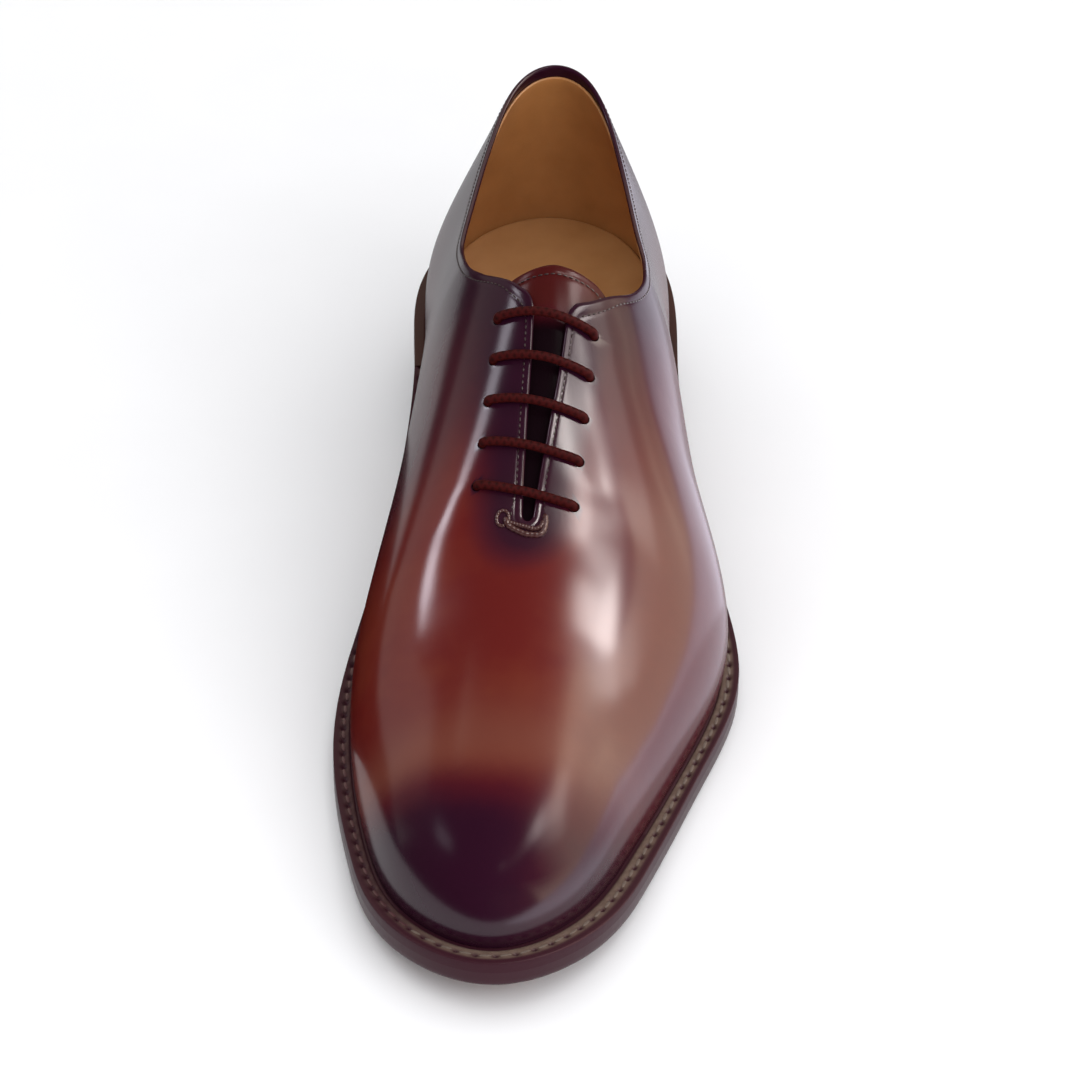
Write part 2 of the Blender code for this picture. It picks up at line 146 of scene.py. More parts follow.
class Ring:
    """Smooth closed curve of any number of columns through rows, by distance round the first two."""

    def __init__(self, rows: Table) -> None:
        """Fits a closed cubic spline.

        Args:
            rows: rows of the curve, whose first two columns are its plan.
        """
        self.rows = np.array(rows, float)
        ahead = np.roll(self.rows, -1, axis=0)
        chord = np.linalg.norm((ahead - self.rows)[:, :2], axis=1)
        self.length = chord.sum()
        self.step = chord / self.length
        self.knots = np.concatenate([[0.0], np.cumsum(self.step)])
        count = len(self.rows)
        slope = (ahead - self.rows) / self.step[:, None]
        matrix = np.zeros((count, count))
        for i in range(count):
            matrix[i, i - 1] += self.step[i - 1]
            matrix[i, i] += 2 * (self.step[i - 1] + self.step[i])
            matrix[i, (i + 1) % count] += self.step[i]
        self.bend = np.linalg.solve(matrix, 6 * (slope - np.roll(slope, 1, axis=0)))

    def __call__(self, turn: Array) -> Array:
        """Rows of the curve at turns."""
        turn = np.mod(np.asarray(turn, float), 1.0)
        i = np.clip(np.searchsorted(self.knots, turn, side="right") - 1, 0, len(self.rows) - 1)
        j = (i + 1) % len(self.rows)
        step = self.step[i]
        b = ((turn - self.knots[i]) / step)[..., None]
        a = 1 - b
        curve = (a**3 - a) * self.bend[i] + (b**3 - b) * self.bend[j]
        return a * self.rows[i] + b * self.rows[j] + curve * (step**2 / 6)[..., None]


# The last and the sole's plan.

RIB_COLUMNS = (
    "along", "medial", "lateral", "medial_lean", "lateral_lean", "medial_margin", "lateral_margin",
    "crown", "rise", "spread", "drop",
)
RIB_TABLE = {
    "toe_tip": (6.5, -5.5, -5.5, 1.5, 1.5, 6.5, 6.5, 120.0, 32.0, 55.0, -4.0),
    "toe_corner": (17.0, -25.0, 12.0, 1.5, 1.5, 5.8, 6.6, 121.0, 30.0, 52.0, -3.7),
    "vamp": (50.0, -39.8, 28.5, 1.5, 1.5, 4.6, 6.0, 126.0, 28.0, 46.0, -2.8),
    "joint": (92.0, -46.6, 43.2, 2.6, 4.2, 4.8, 4.8, 136.0, 27.0, 41.0, -1.2),
    "ball": (130.0, -46.4, 51.4, 2.0, 8.5, 3.2, 5.0, 150.0, 27.5, 32.0, 0.0),
    "waist_front": (165.0, -41.2, 45.0, 1.6, 4.2, 2.2, 3.8, 166.0, 30.0, 26.5, 0.0),
    "waist": (200.0, -36.4, 37.6, 3.2, 5.0, 2.8, 3.4, 188.0, 34.0, 22.0, 2.0),
    "quarter": (235.0, -34.8, 34.0, 4.4, 3.8, 3.5, 3.0, 218.0, 32.0, 12.0, 8.0),
    "heel": (268.0, -35.4, 32.0, 4.4, 4.5, 3.6, 3.0, 252.0, 28.0, 3.0, 16.0),
    "heel_corner": (294.0, -24.0, 21.5, 2.6, 3.4, 3.2, 3.2, 276.0, 28.0, 13.0, 24.0),
    "heel_back": (304.8, -1.5, -1.5, 5.5, 5.5, 3.2, 3.2, 284.0, 28.0, 20.0, 28.0),
}

# Crown line of the last: along, x, height.
CROWN_LINE = (
    (90.0, -2.5, 52.0),
    (120.0, -1.7, 66.0),
    (140.0, -0.2, 80.0),
    (160.0, 1.5, 93.5),
    (178.0, 2.2, 105.0),
    (200.0, 1.5, 116.0),
    (225.0, 0.0, 121.0),
    (260.0, -1.5, 122.5),
    (300.0, -1.5, 123.0),
)

# Underside of the sole, with toe spring, tread, arch and heel seat: along, height.
SOLE_UNDERSIDE = (
    (0.0, 9.0),
    (20.0, 5.4),
    (40.0, 2.4),
    (60.0, 0.5),
    (72.0, 0.0),
    (118.0, 0.0),
    (130.0, 0.5),
    (160.0, 6.0),
    (190.0, 14.0),
    (212.0, 20.0),
    (226.0, 22.9),
    (240.0, 23.54),
    (274.0, 25.07),
    (308.0, 26.6),
)

# Top line of the quarters, seen from the side: along, lateral height, medial height.
TOP_LINE = (
    (160.0, 98.8, 103.5),
    (176.0, 97.0, 102.5),
    (188.0, 91.5, 95.8),
    (200.0, 87.0, 90.0),
    (225.0, 80.5, 82.5),
    (255.0, 78.0, 83.5),
    (280.0, 82.5, 86.5),
    (300.0, 90.5, 90.5),
    (320.0, 96.0, 96.0),
)

# Lacing slit: along, half width.
SLIT = ((119.0, 1.3), (178.0, 4.8), (200.0, 5.0), (210.0, -9.0))


@dataclass
class Last:
    """Form that the upper is pulled over, with the heights and the plan of the sole round it."""

    outsole_thickness: float = 4.8
    welt_thickness: float = 3.0
    wall: float = 2.2
    seat_gap: float = 0.3
    slit_foot: float = 119.0
    corner_round: float = 3.2
    heel_breast: float = 232.0
    turn_step: float = 1e-4
    height_step: float = 1e-3
    collar_blend: float = 20.0
    collar_fall: float = 0.8
    arch_powers: int = 5
    arch_reach: Span = (10.0, 29.0)
    arch_start: Span = (26.0, 50.0)
    arch_end: Span = (124.0, 158.0)

    def __post_init__(self) -> None:
        """Fits the ribs and finds the middle of the sole, which is the origin of the part."""
        names = list(RIB_TABLE)
        around = [(name, Side.LATERAL) for name in names]
        around += [(name, Side.MEDIAL) for name in reversed(names[1:-1])]
        rows = []
        for name, side in around:
            rib = dict(zip(RIB_COLUMNS, RIB_TABLE[name]))
            key = side.name.lower()
            sided = [rib[key], rib["along"], rib[key + "_lean"], rib[key + "_margin"]]
            rows.append(sided + [rib[column] for column in RIB_COLUMNS[7:]])
        self.ribs = Ring(rows)
        line = self.sole_line(np.linspace(0, 1, 4000, endpoint=False))
        self.centre = (line.min(axis=0) + line.max(axis=0)) / 2
        self.arches = self.fit_arches()

    def metres(self, points: Array) -> Array:
        """Part-frame metres of points given as x, along, z."""
        points = np.array(points, float)
        points[..., :2] -= self.centre
        return points * MM

    def underside(self, along: Array) -> Array:
        """Height of the outsole's underside."""
        return smooth_table(SOLE_UNDERSIDE, along)

    def outsole_top(self, along: Array) -> Array:
        """Height of the outsole's upper face."""
        return self.underside(along) + self.outsole_thickness

    def welt_top(self, along: Array) -> Array:
        """Height of the welt's upper face."""
        return self.outsole_top(along) + self.seat_gap + self.welt_thickness

    def feather_height(self, along: Array) -> Array:
        """Height at which the upper's wall starts."""
        return self.welt_top(along) + self.seat_gap

    def outward(self, turn: Array) -> Array:
        """Unit plan normal of the feather line, pointing out of the shoe."""
        turn = np.asarray(turn)
        run = self.ribs(turn + self.turn_step)[..., :2] - self.ribs(turn - self.turn_step)[..., :2]
        return unit(np.stack([run[..., 1], -run[..., 0]], -1))

    def plan_line(self, turn: Array, offset: Array) -> Array:
        """Plan points beside the feather line, offset outwards."""
        return self.ribs(turn)[..., :2] + self.outward(turn) * np.asarray(offset)[..., None]

    def margin(self, turn: Array) -> Array:
        """How far the sole stands out past the feather line."""
        return self.ribs(turn)[..., 3]

    def sole_line(self, turn: Array, inset: float = 0.0) -> Array:
        """Plan points of the sole's edge, or of a line inside it."""
        return self.plan_line(turn, self.margin(turn) - inset)

    def fit_arches(self) -> Array:
        """Arches that leather pulled over the vamp takes across the shoe, with no ridge along the middle.

        Returns:
            A row for each station: along, then the factors of the arch's height, by powers of the
            distance from the crown line.
        """
        stations, beside = np.arange(24.0, 163.0, 6.0), np.linspace(-30.0, 30.0, 41)
        hold = 1 - 0.85 * smoothstep(18.0, 32.0, np.abs(beside))
        rows = []
        for along in stations:
            x = self.crown_x(along) + beside
            turn, height = self.locate(x, np.full(len(x), along))
            points = self.bare_point(turn, height)
            met = np.abs(points[:, 0] - x) < 0.1
            factors = np.polynomial.polynomial.polyfit(
                beside[met], points[met, 2], self.arch_powers - 1, w=hold[met])
            rows.append([along, *factors])
        return np.array(rows)

    def point(self, turn: Array, height: Array) -> Array:
        """Points of the leather's outer face.

        Args:
            turn: turns of the ribs.
            height: share of each rib, from the feather line (0) to the crown (1).

        Returns:
            Points (x, along, z).
        """
        points = self.bare_point(turn, height)
        beside, along = self.beside_crown(points), points[..., 1]
        powers = range(self.arch_powers)
        arch = sum(smooth_table(self.arches, along, power + 1) * beside**power for power in powers)
        share = (1 - smoothstep(*self.arch_reach, np.abs(beside))) * smoothstep(*self.arch_start, along)
        share = share * (1 - smoothstep(*self.arch_end, along))
        points[..., 2] += (arch - points[..., 2]) * share
        return points

    def bare_point(self, turn: Array, height: Array) -> Array:
        """Points of the last, by the turns of its ribs and the share of each rib."""
        turn, height = np.broadcast_arrays(np.asarray(turn, float), np.asarray(height, float))
        x, along, lean, _, crown, rise, spread, drop = np.moveaxis(self.ribs(turn), -1, 0)
        out = self.outward(turn)
        foot = np.stack([x, along, self.feather_height(along)], -1)
        foot_pull = foot + np.stack([out[..., 0] * lean, out[..., 1] * lean, rise], -1)
        top = np.stack([self.crown_x(crown), crown, smooth_table(CROWN_LINE, crown, 2)], -1)
        away = unit(foot[..., :2] - top[..., :2])
        slope = (smooth_table(CROWN_LINE, crown + 1, 2) - smooth_table(CROWN_LINE, crown - 1, 2)) / 2
        fall = slope * spread * away[..., 1] - drop
        top_pull = top + np.stack([away[..., 0] * spread, away[..., 1] * spread, fall], -1)
        t = height[..., None]
        low = foot * (1 - t) ** 3 + foot_pull * (3 * t * (1 - t) ** 2)
        return low + top_pull * (3 * t**2 * (1 - t)) + top * t**3

    def normal(self, turn: Array, height: Array) -> Array:
        """Unit normals of the last, pointing out."""
        step = self.height_step
        turn, height = np.asarray(turn, float), np.asarray(height, float)
        up = self.point(turn, np.minimum(height + step, 1)) - self.point(turn, np.maximum(height - step, 0))
        run = self.point(turn + self.turn_step, height) - self.point(turn - self.turn_step, height)
        return unit(np.cross(run, up))

    def crown_x(self, along: Array) -> Array:
        """x of the crown line."""
        return smooth_table(CROWN_LINE, along, 1)

    def beside_crown(self, point: Array) -> Array:
        """How far a point lies beside the crown line."""
        return point[..., 0] - self.crown_x(point[..., 1])

    def collar_depth(self, point: Array) -> Array:
        """How far a point lies above the collar's top line, below zero on leather."""
        side = np.clip(self.beside_crown(point) / self.collar_blend, -1, 1) / 2 + 0.5
        along = point[..., 1]
        top_line = smooth_table(TOP_LINE, along, 1) * side + smooth_table(TOP_LINE, along, 2) * (1 - side)
        return (point[..., 2] - top_line) * self.collar_fall

    def slit_depth(self, point: Array) -> Array:
        """How far a point lies inside the lacing slit, below zero on leather."""
        half = smooth_table(SLIT, point[..., 1])
        before_foot = self.slit_foot + half - point[..., 1]
        return half - np.hypot(self.beside_crown(point), np.maximum(before_foot, 0))

    def opening_depth(self, point: Array) -> Array:
        """How far a point lies inside the collar and slit, below zero on leather."""
        collar, slit = self.collar_depth(point), self.slit_depth(point)
        blend = np.maximum(self.corner_round - np.abs(collar - slit), 0)
        return np.maximum(collar, slit) + blend**2 / (4 * self.corner_round)

    def heights_at(self, turn: Array, depths: Sequence[float]) -> Array:
        """Heights on each rib at which the leather lies that deep in the opening.

        Args:
            turn: turns of the ribs.
            depths: depths, below zero on leather.

        Returns:
            Heights, a row for each rib and a column for each depth.
        """
        steps = np.linspace(0.2, 1.0, 1201)
        depth = self.opening_depth(self.point(turn[:, None], steps[None, :]))
        rows = np.arange(len(turn))
        heights = np.empty((len(turn), len(depths)))
        for column, target in enumerate(depths):
            inside = depth > target
            first = np.argmax(inside, axis=1)
            first[~inside.any(axis=1)] = len(steps) - 1
            before = np.maximum(first - 1, 0)
            d0, d1 = depth[rows, before], depth[rows, first]
            share = np.clip((target - d0) / np.where(d1 == d0, 1, d1 - d0), 0, 1)
            heights[:, column] = steps[before] + (steps[first] - steps[before]) * share
        return heights

    def locate(self, x: Array, along: Array) -> tuple[Array, Array]:
        """Turn and height at which the last passes plan places on its upper side.

        Args:
            x: x of the places.
            along: along of the places, of the same shape.

        Returns:
            Turns and heights, of the same shape.
        """
        shape, target = x.shape, np.stack([x.ravel(), along.ravel()], -1)
        lateral = target[:, 0] >= self.crown_x(target[:, 1])
        turns, heights = np.linspace(0, 0.5, 121), np.linspace(0.3, 0.99, 40)
        start = np.empty((len(target), 2))
        for side in (True, False):
            turn, height = np.meshgrid(turns if side else 1 - turns, heights, indexing="ij")
            plan = self.bare_point(turn, height)[..., :2].reshape(-1, 2)
            pick = np.flatnonzero(lateral == side)
            gap = np.linalg.norm(target[pick, None] - plan[None], axis=2)
            best = np.argmin(gap, axis=1)
            start[pick, 0], start[pick, 1] = turn.ravel()[best], height.ravel()[best]
        turn, height = start.T
        step = self.turn_step
        for _ in range(10):
            here = self.bare_point(turn, height)[:, :2]
            by_turn = (self.bare_point(turn + step, height)[:, :2] - here) / step
            by_height = (here - self.bare_point(turn, height - step)[:, :2]) / step
            miss = target - here
            cross = by_turn[:, 0] * by_height[:, 1] - by_turn[:, 1] * by_height[:, 0]
            cross = np.where(np.abs(cross) < 1.0, np.copysign(1.0, cross), cross)
            turn_step = (miss[:, 0] * by_height[:, 1] - miss[:, 1] * by_height[:, 0]) / cross
            height_step = (by_turn[:, 0] * miss[:, 1] - by_turn[:, 1] * miss[:, 0]) / cross
            turn = turn + np.clip(turn_step, -0.02, 0.02)
            height = np.clip(height + np.clip(height_step, -0.05, 0.05), 0.1, 1.0)
        return turn.reshape(shape), height.reshape(shape)

    def over(self, beside: Array, along: Array, offset: Array) -> tuple[Array, Array]:
        """Points over (+) or under (-) the last, placed beside its crown line, and the normals there."""
        beside, along, offset = np.broadcast_arrays(beside, along, offset)
        turn, height = self.locate(self.crown_x(along) + beside, along.astype(float))
        normal = self.normal(turn, height)
        return self.point(turn, height) + normal * offset[..., None], normal

    def breast_turns(self) -> tuple[float, float]:
        """Turns at which the feather line passes the heel breast, lateral and medial."""
        turn = np.linspace(0, 1, 4001)
        along = self.ribs(turn)[:, 1]
        lateral = np.interp(self.heel_breast, along[:1800], turn[:1800])
        medial = np.interp(self.heel_breast, along[:2200:-1], turn[:2200:-1])
        return float(lateral), float(medial)

    def paired_turns(self, inset: float, count: int) -> Array:
        """Turns whose places on a line inside the sole's edge come in pairs abreast of each other.

        Args:
            inset: how far inside the feather line the paired line lies.
            count: stations from toe to heel.

        Returns:
            Turns from the toe by the lateral side to the heel and back to the toe.
        """
        turn = np.linspace(-0.5, 0.5, 8001)
        line = self.plan_line(turn, np.full(len(turn), -inset))
        tip = np.argmin(line[:, 1])
        turn = np.linspace(turn[tip], turn[tip] + 1, 8001)
        line = self.plan_line(turn, np.full(len(turn), -inset))
        end = np.argmax(line[:, 1])
        share = (1 - np.cos(np.pi * np.linspace(0, 1, count))) / 2
        stations = line[0, 1] + (line[end, 1] - line[0, 1]) * share
        lateral = np.interp(stations, line[: end + 1, 1], turn[: end + 1])
        medial = np.interp(stations, line[end:, 1][::-1], turn[end:][::-1])
        return np.concatenate([lateral, medial[-2::-1]])


LAST = Last()


# Meshes.

# A direction that no tube starts along.
ASIDE = (0.3, -0.5, 0.8)


def skin(points: Array, **values: Array) -> bmesh.types.BMesh:
    """Sheet of quads through a grid of points, welded where its edges and poles meet.

    Args:
        points: places in millimetres, by column and row.
        values: numbers for each point that a finish reads, by name.

    Returns:
        The mesh, with a UV map of its columns and rows.
    """
    columns, rows = points.shape[:2]
    bm = bmesh.new()
    bm.loops.layers.uv.new("run_and_girth")
    bmesh.ops.create_grid(bm, x_segments=columns - 1, y_segments=rows - 1, size=0.5, calc_uvs=True)
    layers = {name: bm.verts.layers.float.new(name) for name in values}
    places = LAST.metres(points)
    for index, vert in enumerate(bm.verts):
        row, column = divmod(index, columns)
        vert.co = places[column, row]
        for name, layer in layers.items():
            vert[layer] = values[name][column, row]
    bmesh.ops.remove_doubles(bm, verts=bm.verts, dist=WELD)
    bmesh.ops.recalc_face_normals(bm, faces=bm.faces)
    return bm


def tube(path: Array, radius: Array, sides: int) -> bmesh.types.BMesh:
    """Round tube along a path, closed where its radius is zero.

    Args:
        path: points of its middle line.
        radius: radius at each point.
        sides: facets round it.

    Returns:
        The mesh, whose UV map runs along the tube and round it.
    """
    run = unit(np.gradient(path, axis=0))
    side = unit(np.cross(run[0], ASIDE))
    angle = np.linspace(0, 2 * np.pi, sides + 1)
    rings = []
    for place, ahead, girth in zip(path, run, radius):
        side = unit(side - ahead * (side @ ahead))
        up = np.cross(ahead, side)
        rings.append(place + girth * (np.cos(angle)[:, None] * side + np.sin(angle)[:, None] * up))
    return skin(np.stack(rings))


@dataclass(frozen=True)
class Stitch:
    """One stitch of thread in a row, in millimetres; its skew turns it across the row, in degrees."""

    pitch: float
    length: float
    width: float
    height: float
    skew: float = 0.0

    def sew(self, path: Array, normals: Array) -> bmesh.types.BMesh:
        """Sews a row of stitches.

        Args:
            path: points of the row.
            normals: normals of what is sewn, at those points.

        Returns:
            The mesh of the stitches.
        """
        run = run_length(path)
        count = max(int(run[-1] / self.pitch), 1)
        at = (np.arange(count) + 0.5) * run[-1] / count
        place, ahead, normal = (
            np.stack([np.interp(at, run, column) for column in rows.T], -1)
            for rows in (path, np.gradient(path, axis=0), normals)
        )
        normal = unit(normal)
        ahead = unit(ahead - normal * (ahead * normal).sum(axis=1, keepdims=True))
        side = np.cross(normal, ahead)
        cos, sin = math.cos(math.radians(self.skew)), math.sin(math.radians(self.skew))
        ahead, side = ahead * cos + side * sin, side * cos - ahead * sin
        halves = np.array([self.width, self.height, self.length]) / 2 * MM
        bm = bmesh.new()
        for centre, x, y, z in zip(LAST.metres(place), side, normal, ahead):
            axes = Matrix(np.stack([x, y, z], axis=1) * halves).to_4x4()
            matrix = Matrix.Translation(Vector(centre)) @ axes
            bmesh.ops.create_uvsphere(bm, u_segments=6, v_segments=4, radius=1.0, matrix=matrix)
        return bm


def add_object(name: str, bm: bmesh.types.BMesh) -> bpy.types.Object:
    """Writes a mesh, which is freed, as an object of the scene."""
    mesh = bpy.data.meshes.new(name)
    bm.to_mesh(mesh)
    bm.free()
    thing = bpy.data.objects.new(name, mesh)
    bpy.context.scene.collection.objects.link(thing)
    return thing


def add_piece(
    name: str, bm: bmesh.types.BMesh, finish: "Finish", replaced: Sequence[str] = ()
) -> bpy.types.Object:
    """Writes a mesh as a piece of the shoe.

    Args:
        name: the piece's name.
        bm: its mesh, which is freed.
        finish: its finish.
        replaced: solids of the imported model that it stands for.

    Returns:
        The piece, riding on the shoe's one body.
    """
    piece = add_object(name, bm)
    piece.data.shade_smooth()
    piece.data.set_sharp_from_angle(angle=SHARP_ANGLE)
    piece.data.materials.append(finish.material())
    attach(piece, BODY)
    if replaced:
        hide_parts(*replaced)
    LOG.info("%s: %d faces", name, len(piece.data.polygons))
    return piece


# Finishes.

RGBA = {"data_type": "RGBA"}
SMOOTH = {"interpolation_type": "SMOOTHSTEP"}


def colour(hex_value: str) -> tuple[float, float, float, float]:
    """Linear colour of an sRGB hex value."""
    channels = [int(hex_value[i : i + 2], 16) / 255 for i in (1, 3, 5)]
    linear = [c / 12.92 if c <= 0.04045 else ((c + 0.055) / 1.055) ** 2.4 for c in channels]
    return (*linear, 1.0)


def per_metre(size: float) -> float:
    """Scale of a pattern whose features are that many millimetres wide."""
    return 1 / (size * MM)


def add_node(
    tree: bpy.types.NodeTree, kind: str, settings: dict | None = None, inputs: dict | None = None
) -> bpy.types.Node:
    """Adds a shader node.

    Args:
        tree: node tree of a material or the world.
        kind: node type, without its Shader prefix.
        settings: attributes of the node.
        inputs: values of its sockets, or sockets to link to them, by name or number.

    Returns:
        The node.
    """
    node = tree.nodes.new("ShaderNode" + kind)
    for name, value in (settings or {}).items():
        setattr(node, name, value)
    for name, value in (inputs or {}).items():
        if isinstance(value, bpy.types.NodeSocket):
            tree.links.new(value, node.inputs[name])
        else:
            node.inputs[name].default_value = value
    return node


class Finish:
    """A finish of the shoe: a material worked out from nodes, made once and shared."""

    name: str

    def material(self) -> bpy.types.Material:
        """Material of this finish."""
        made = bpy.data.materials.get(self.name)
        if made is None:
            made = bpy.data.materials.new(self.name)
            made.use_nodes = True
            self.dress(made.node_tree, made.node_tree.nodes["Principled BSDF"])
        return made

    def dress(self, tree: bpy.types.NodeTree, shader: bpy.types.Node) -> None:
        """Builds the finish's nodes.

        Args:
            tree: the material's node tree.
            shader: its shader.
        """
        raise NotImplementedError

    @staticmethod
    def raise_grain(
        tree: bpy.types.NodeTree, shader: bpy.types.Node, height: bpy.types.NodeSocket, depth_mm: float,
        strength: float = 1.0,
    ) -> None:
        """Gives the shader a relief.

        Args:
            tree: the material's node tree.
            shader: its shader.
            height: the relief's height, from 0 to 1.
            depth_mm: its depth.
            strength: how far it shows, from 0 to 1.
        """
        relief = add_node(tree, "Bump", inputs={
            "Strength": strength, "Distance": depth_mm * MM, "Height": height})
        tree.links.new(relief.outputs["Normal"], shader.inputs["Normal"])

    @staticmethod
    def polish(shader: bpy.types.Node, **sockets: float) -> None:
        """Sets numbers on the shader's sockets, named with _ for a space."""
        for name, value in sockets.items():
            shader.inputs[name.replace("_", " ").title().replace("Ior", "IOR")].default_value = value


@dataclass(frozen=True)
class BurnishedCalf(Finish):
    """Aniline calf, burnished by hand and waxed: red brown that deepens to plum black under a gloss; its
    darkening also carries painted shade, and its fawn is a painted reflection.
    """

    name: str = "burnished_calf"
    red_brown: str = "#5d1411"
    chestnut: str = "#662316"
    # Fawn of a painted reflection, mixed in as a band across the vamp.
    fawn: str = "#6d3a2d"
    burgundy: str = "#48101a"
    plum_black: str = "#290b1d"
    warm: Span = (0.36, 0.74)
    first_dye: Span = (0.06, 0.62)
    second_dye: Span = (0.45, 1.0)
    cloud_mm: float = 26.0
    fleck_mm: float = 5.0
    fleck: float = 0.05
    grain_mm: float = 0.7
    grain_depth_mm: float = 0.012
    roughness: float = 0.5
    dull_roughness: float = 0.55
    wax: float = 0.42
    dull_wax: float = 0.006

    def dress(self, tree: bpy.types.NodeTree, shader: bpy.types.Node) -> None:
        """Builds the patina with its painted shade and painted fawn reflection, the grain and the wax."""
        place = add_node(tree, "TexCoord").outputs["Object"]
        burnish, faded, gloss = (
            add_node(tree, "Attribute", {"attribute_name": name}).outputs["Fac"]
            for name in ("burnish", "faded", "gloss")
        )
        cloud, flecks = (
            add_node(tree, "TexNoise", inputs={
                "Vector": place, "Scale": per_metre(size), "Detail": detail, "Roughness": rough,
            }).outputs["Fac"]
            for size, detail, rough in ((self.cloud_mm, 3.0, 0.55), (self.fleck_mm, 4.0, 0.6))
        )
        uneven = add_node(tree, "MapRange", inputs={
            "Value": flecks, "To Min": -self.fleck, "To Max": self.fleck}).outputs["Result"]
        dye = add_node(tree, "Math", {"operation": "ADD"}, {0: burnish, 1: uneven}).outputs[0]
        warm, first, second = (
            add_node(tree, "MapRange", SMOOTH, {
                "Value": value, "From Min": low, "From Max": high}).outputs["Result"]
            for value, (low, high) in ((cloud, self.warm), (dye, self.first_dye), (dye, self.second_dye))
        )
        # Fawn mixes in as a painted reflection; burgundy and plum black follow the darkness, which is dye
        # and painted shade.
        tone = colour(self.red_brown)
        layers = (
            (warm, self.chestnut), (faded, self.fawn), (first, self.burgundy), (second, self.plum_black))
        for share, dyed in layers:
            tone = add_node(tree, "Mix", RGBA, {0: share, 6: tone, 7: colour(dyed)}).outputs[2]
        tree.links.new(tone, shader.inputs["Base Color"])
        pores = add_node(tree, "TexVoronoi", {"feature": "SMOOTH_F1"}, {
            "Vector": place, "Scale": per_metre(self.grain_mm)})
        self.raise_grain(tree, shader, pores.outputs["Distance"], self.grain_depth_mm)
        wax, rough = (
            add_node(tree, "MapRange", inputs={
                "Value": gloss, "To Min": low, "To Max": high}).outputs["Result"]
            for low, high in ((self.dull_wax, self.wax), (self.dull_roughness, self.roughness))
        )
        tree.links.new(wax, shader.inputs["Coat Weight"])
        rough = add_node(tree, "Math", {"operation": "ADD"}, {0: rough, 1: uneven}).outputs[0]
        tree.links.new(rough, shader.inputs["Roughness"])
        self.polish(shader, ior=1.5, specular_ior_level=0.01, coat_roughness=0.2, coat_ior=1.8)


@dataclass(frozen=True)
class Mottled(Finish):
    """Two close tones in soft clouds: matt paper, and the base of plain leather, rubber and thread."""

    name: str
    light: str
    dark: str
    cloud_mm: float
    detail: float = 2.0
    roughness: float = 0.5
    specular: float = 0.5
    coat: float = 0.0

    def mottle(self, tree: bpy.types.NodeTree, shader: bpy.types.Node) -> bpy.types.NodeSocket:
        """Gives the shader its tone.

        Args:
            tree: the material's node tree.
            shader: its shader.

        Returns:
            The clouds, from 0 where it is dark to 1 where it is light.
        """
        place = add_node(tree, "TexCoord").outputs["Object"]
        cloud = add_node(tree, "TexNoise", inputs={
            "Vector": place, "Scale": per_metre(self.cloud_mm), "Detail": self.detail}).outputs["Fac"]
        tone = add_node(tree, "Mix", RGBA, {0: cloud, 6: colour(self.dark), 7: colour(self.light)})
        tree.links.new(tone.outputs[2], shader.inputs["Base Color"])
        return cloud

    def dress(self, tree: bpy.types.NodeTree, shader: bpy.types.Node) -> None:
        """Builds the mottled tone."""
        self.mottle(tree, shader)
        self.polish(shader, ior=1.5, roughness=self.roughness, specular_ior_level=self.specular,
                    coat_weight=self.coat)


@dataclass(frozen=True)
class PlainLeather(Mottled):
    """Leather of two close tones with a pore grain: lining, sock, rand or heel lifts."""

    cloud_mm: float = 12.0
    detail: float = 4.0
    uneven: float = 0.08
    grain_mm: float = 0.9
    grain_depth_mm: float = 0.03

    def dress(self, tree: bpy.types.NodeTree, shader: bpy.types.Node) -> None:
        """Builds the mottled tone and the grain."""
        cloud = self.mottle(tree, shader)
        place = add_node(tree, "TexCoord").outputs["Object"]
        pores = add_node(tree, "TexVoronoi", {"feature": "SMOOTH_F1"}, {
            "Vector": place, "Scale": per_metre(self.grain_mm)})
        self.raise_grain(tree, shader, pores.outputs["Distance"], self.grain_depth_mm)
        rough = add_node(tree, "MapRange", inputs={
            "Value": cloud, "To Min": self.roughness - self.uneven, "To Max": self.roughness + self.uneven})
        tree.links.new(rough.outputs["Result"], shader.inputs["Roughness"])
        self.polish(shader, ior=1.5, specular_ior_level=self.specular, coat_weight=self.coat,
                    coat_roughness=0.2)


@dataclass(frozen=True)
class WeltLeather(Finish):
    """Oak-bark welting, stained dark at its outer edge and rubbed back to tan along the stitches; the same
    dark is painted shade in the groove by the upper and on the medial side.
    """

    name: str = "welt_leather"
    # Dark of the edge stain, also used as painted shade.
    stain: str = "#371822"
    tan: str = "#6d5b50"
    worn: Span = (0.55, 1.25)
    fibre_mm: float = 1.6
    fibre_depth_mm: float = 0.06

    def dress(self, tree: bpy.types.NodeTree, shader: bpy.types.Node) -> None:
        """Builds the stain and painted shade, which give way to tan where the stitching wheel rubbed."""
        place = add_node(tree, "TexCoord").outputs["Object"]
        rub = add_node(tree, "Attribute", {"attribute_name": "rub"}).outputs["Fac"]
        fibre = add_node(tree, "TexNoise", inputs={
            "Vector": place, "Scale": per_metre(self.fibre_mm), "Detail": 4.0}).outputs["Fac"]
        uneven = add_node(tree, "MapRange", inputs={
            "Value": fibre, "To Min": self.worn[0], "To Max": self.worn[1]})
        worn = add_node(tree, "Math", {"operation": "MULTIPLY", "use_clamp": True}, {
            0: rub, 1: uneven.outputs["Result"]})
        tone = add_node(tree, "Mix", RGBA, {
            0: worn.outputs[0], 6: colour(self.stain), 7: colour(self.tan)})
        tree.links.new(tone.outputs[2], shader.inputs["Base Color"])
        self.raise_grain(tree, shader, fibre, self.fibre_depth_mm, 0.6)
        self.polish(shader, ior=1.5, specular_ior_level=0.1, roughness=0.42, coat_weight=0.03,
                    coat_roughness=0.25)


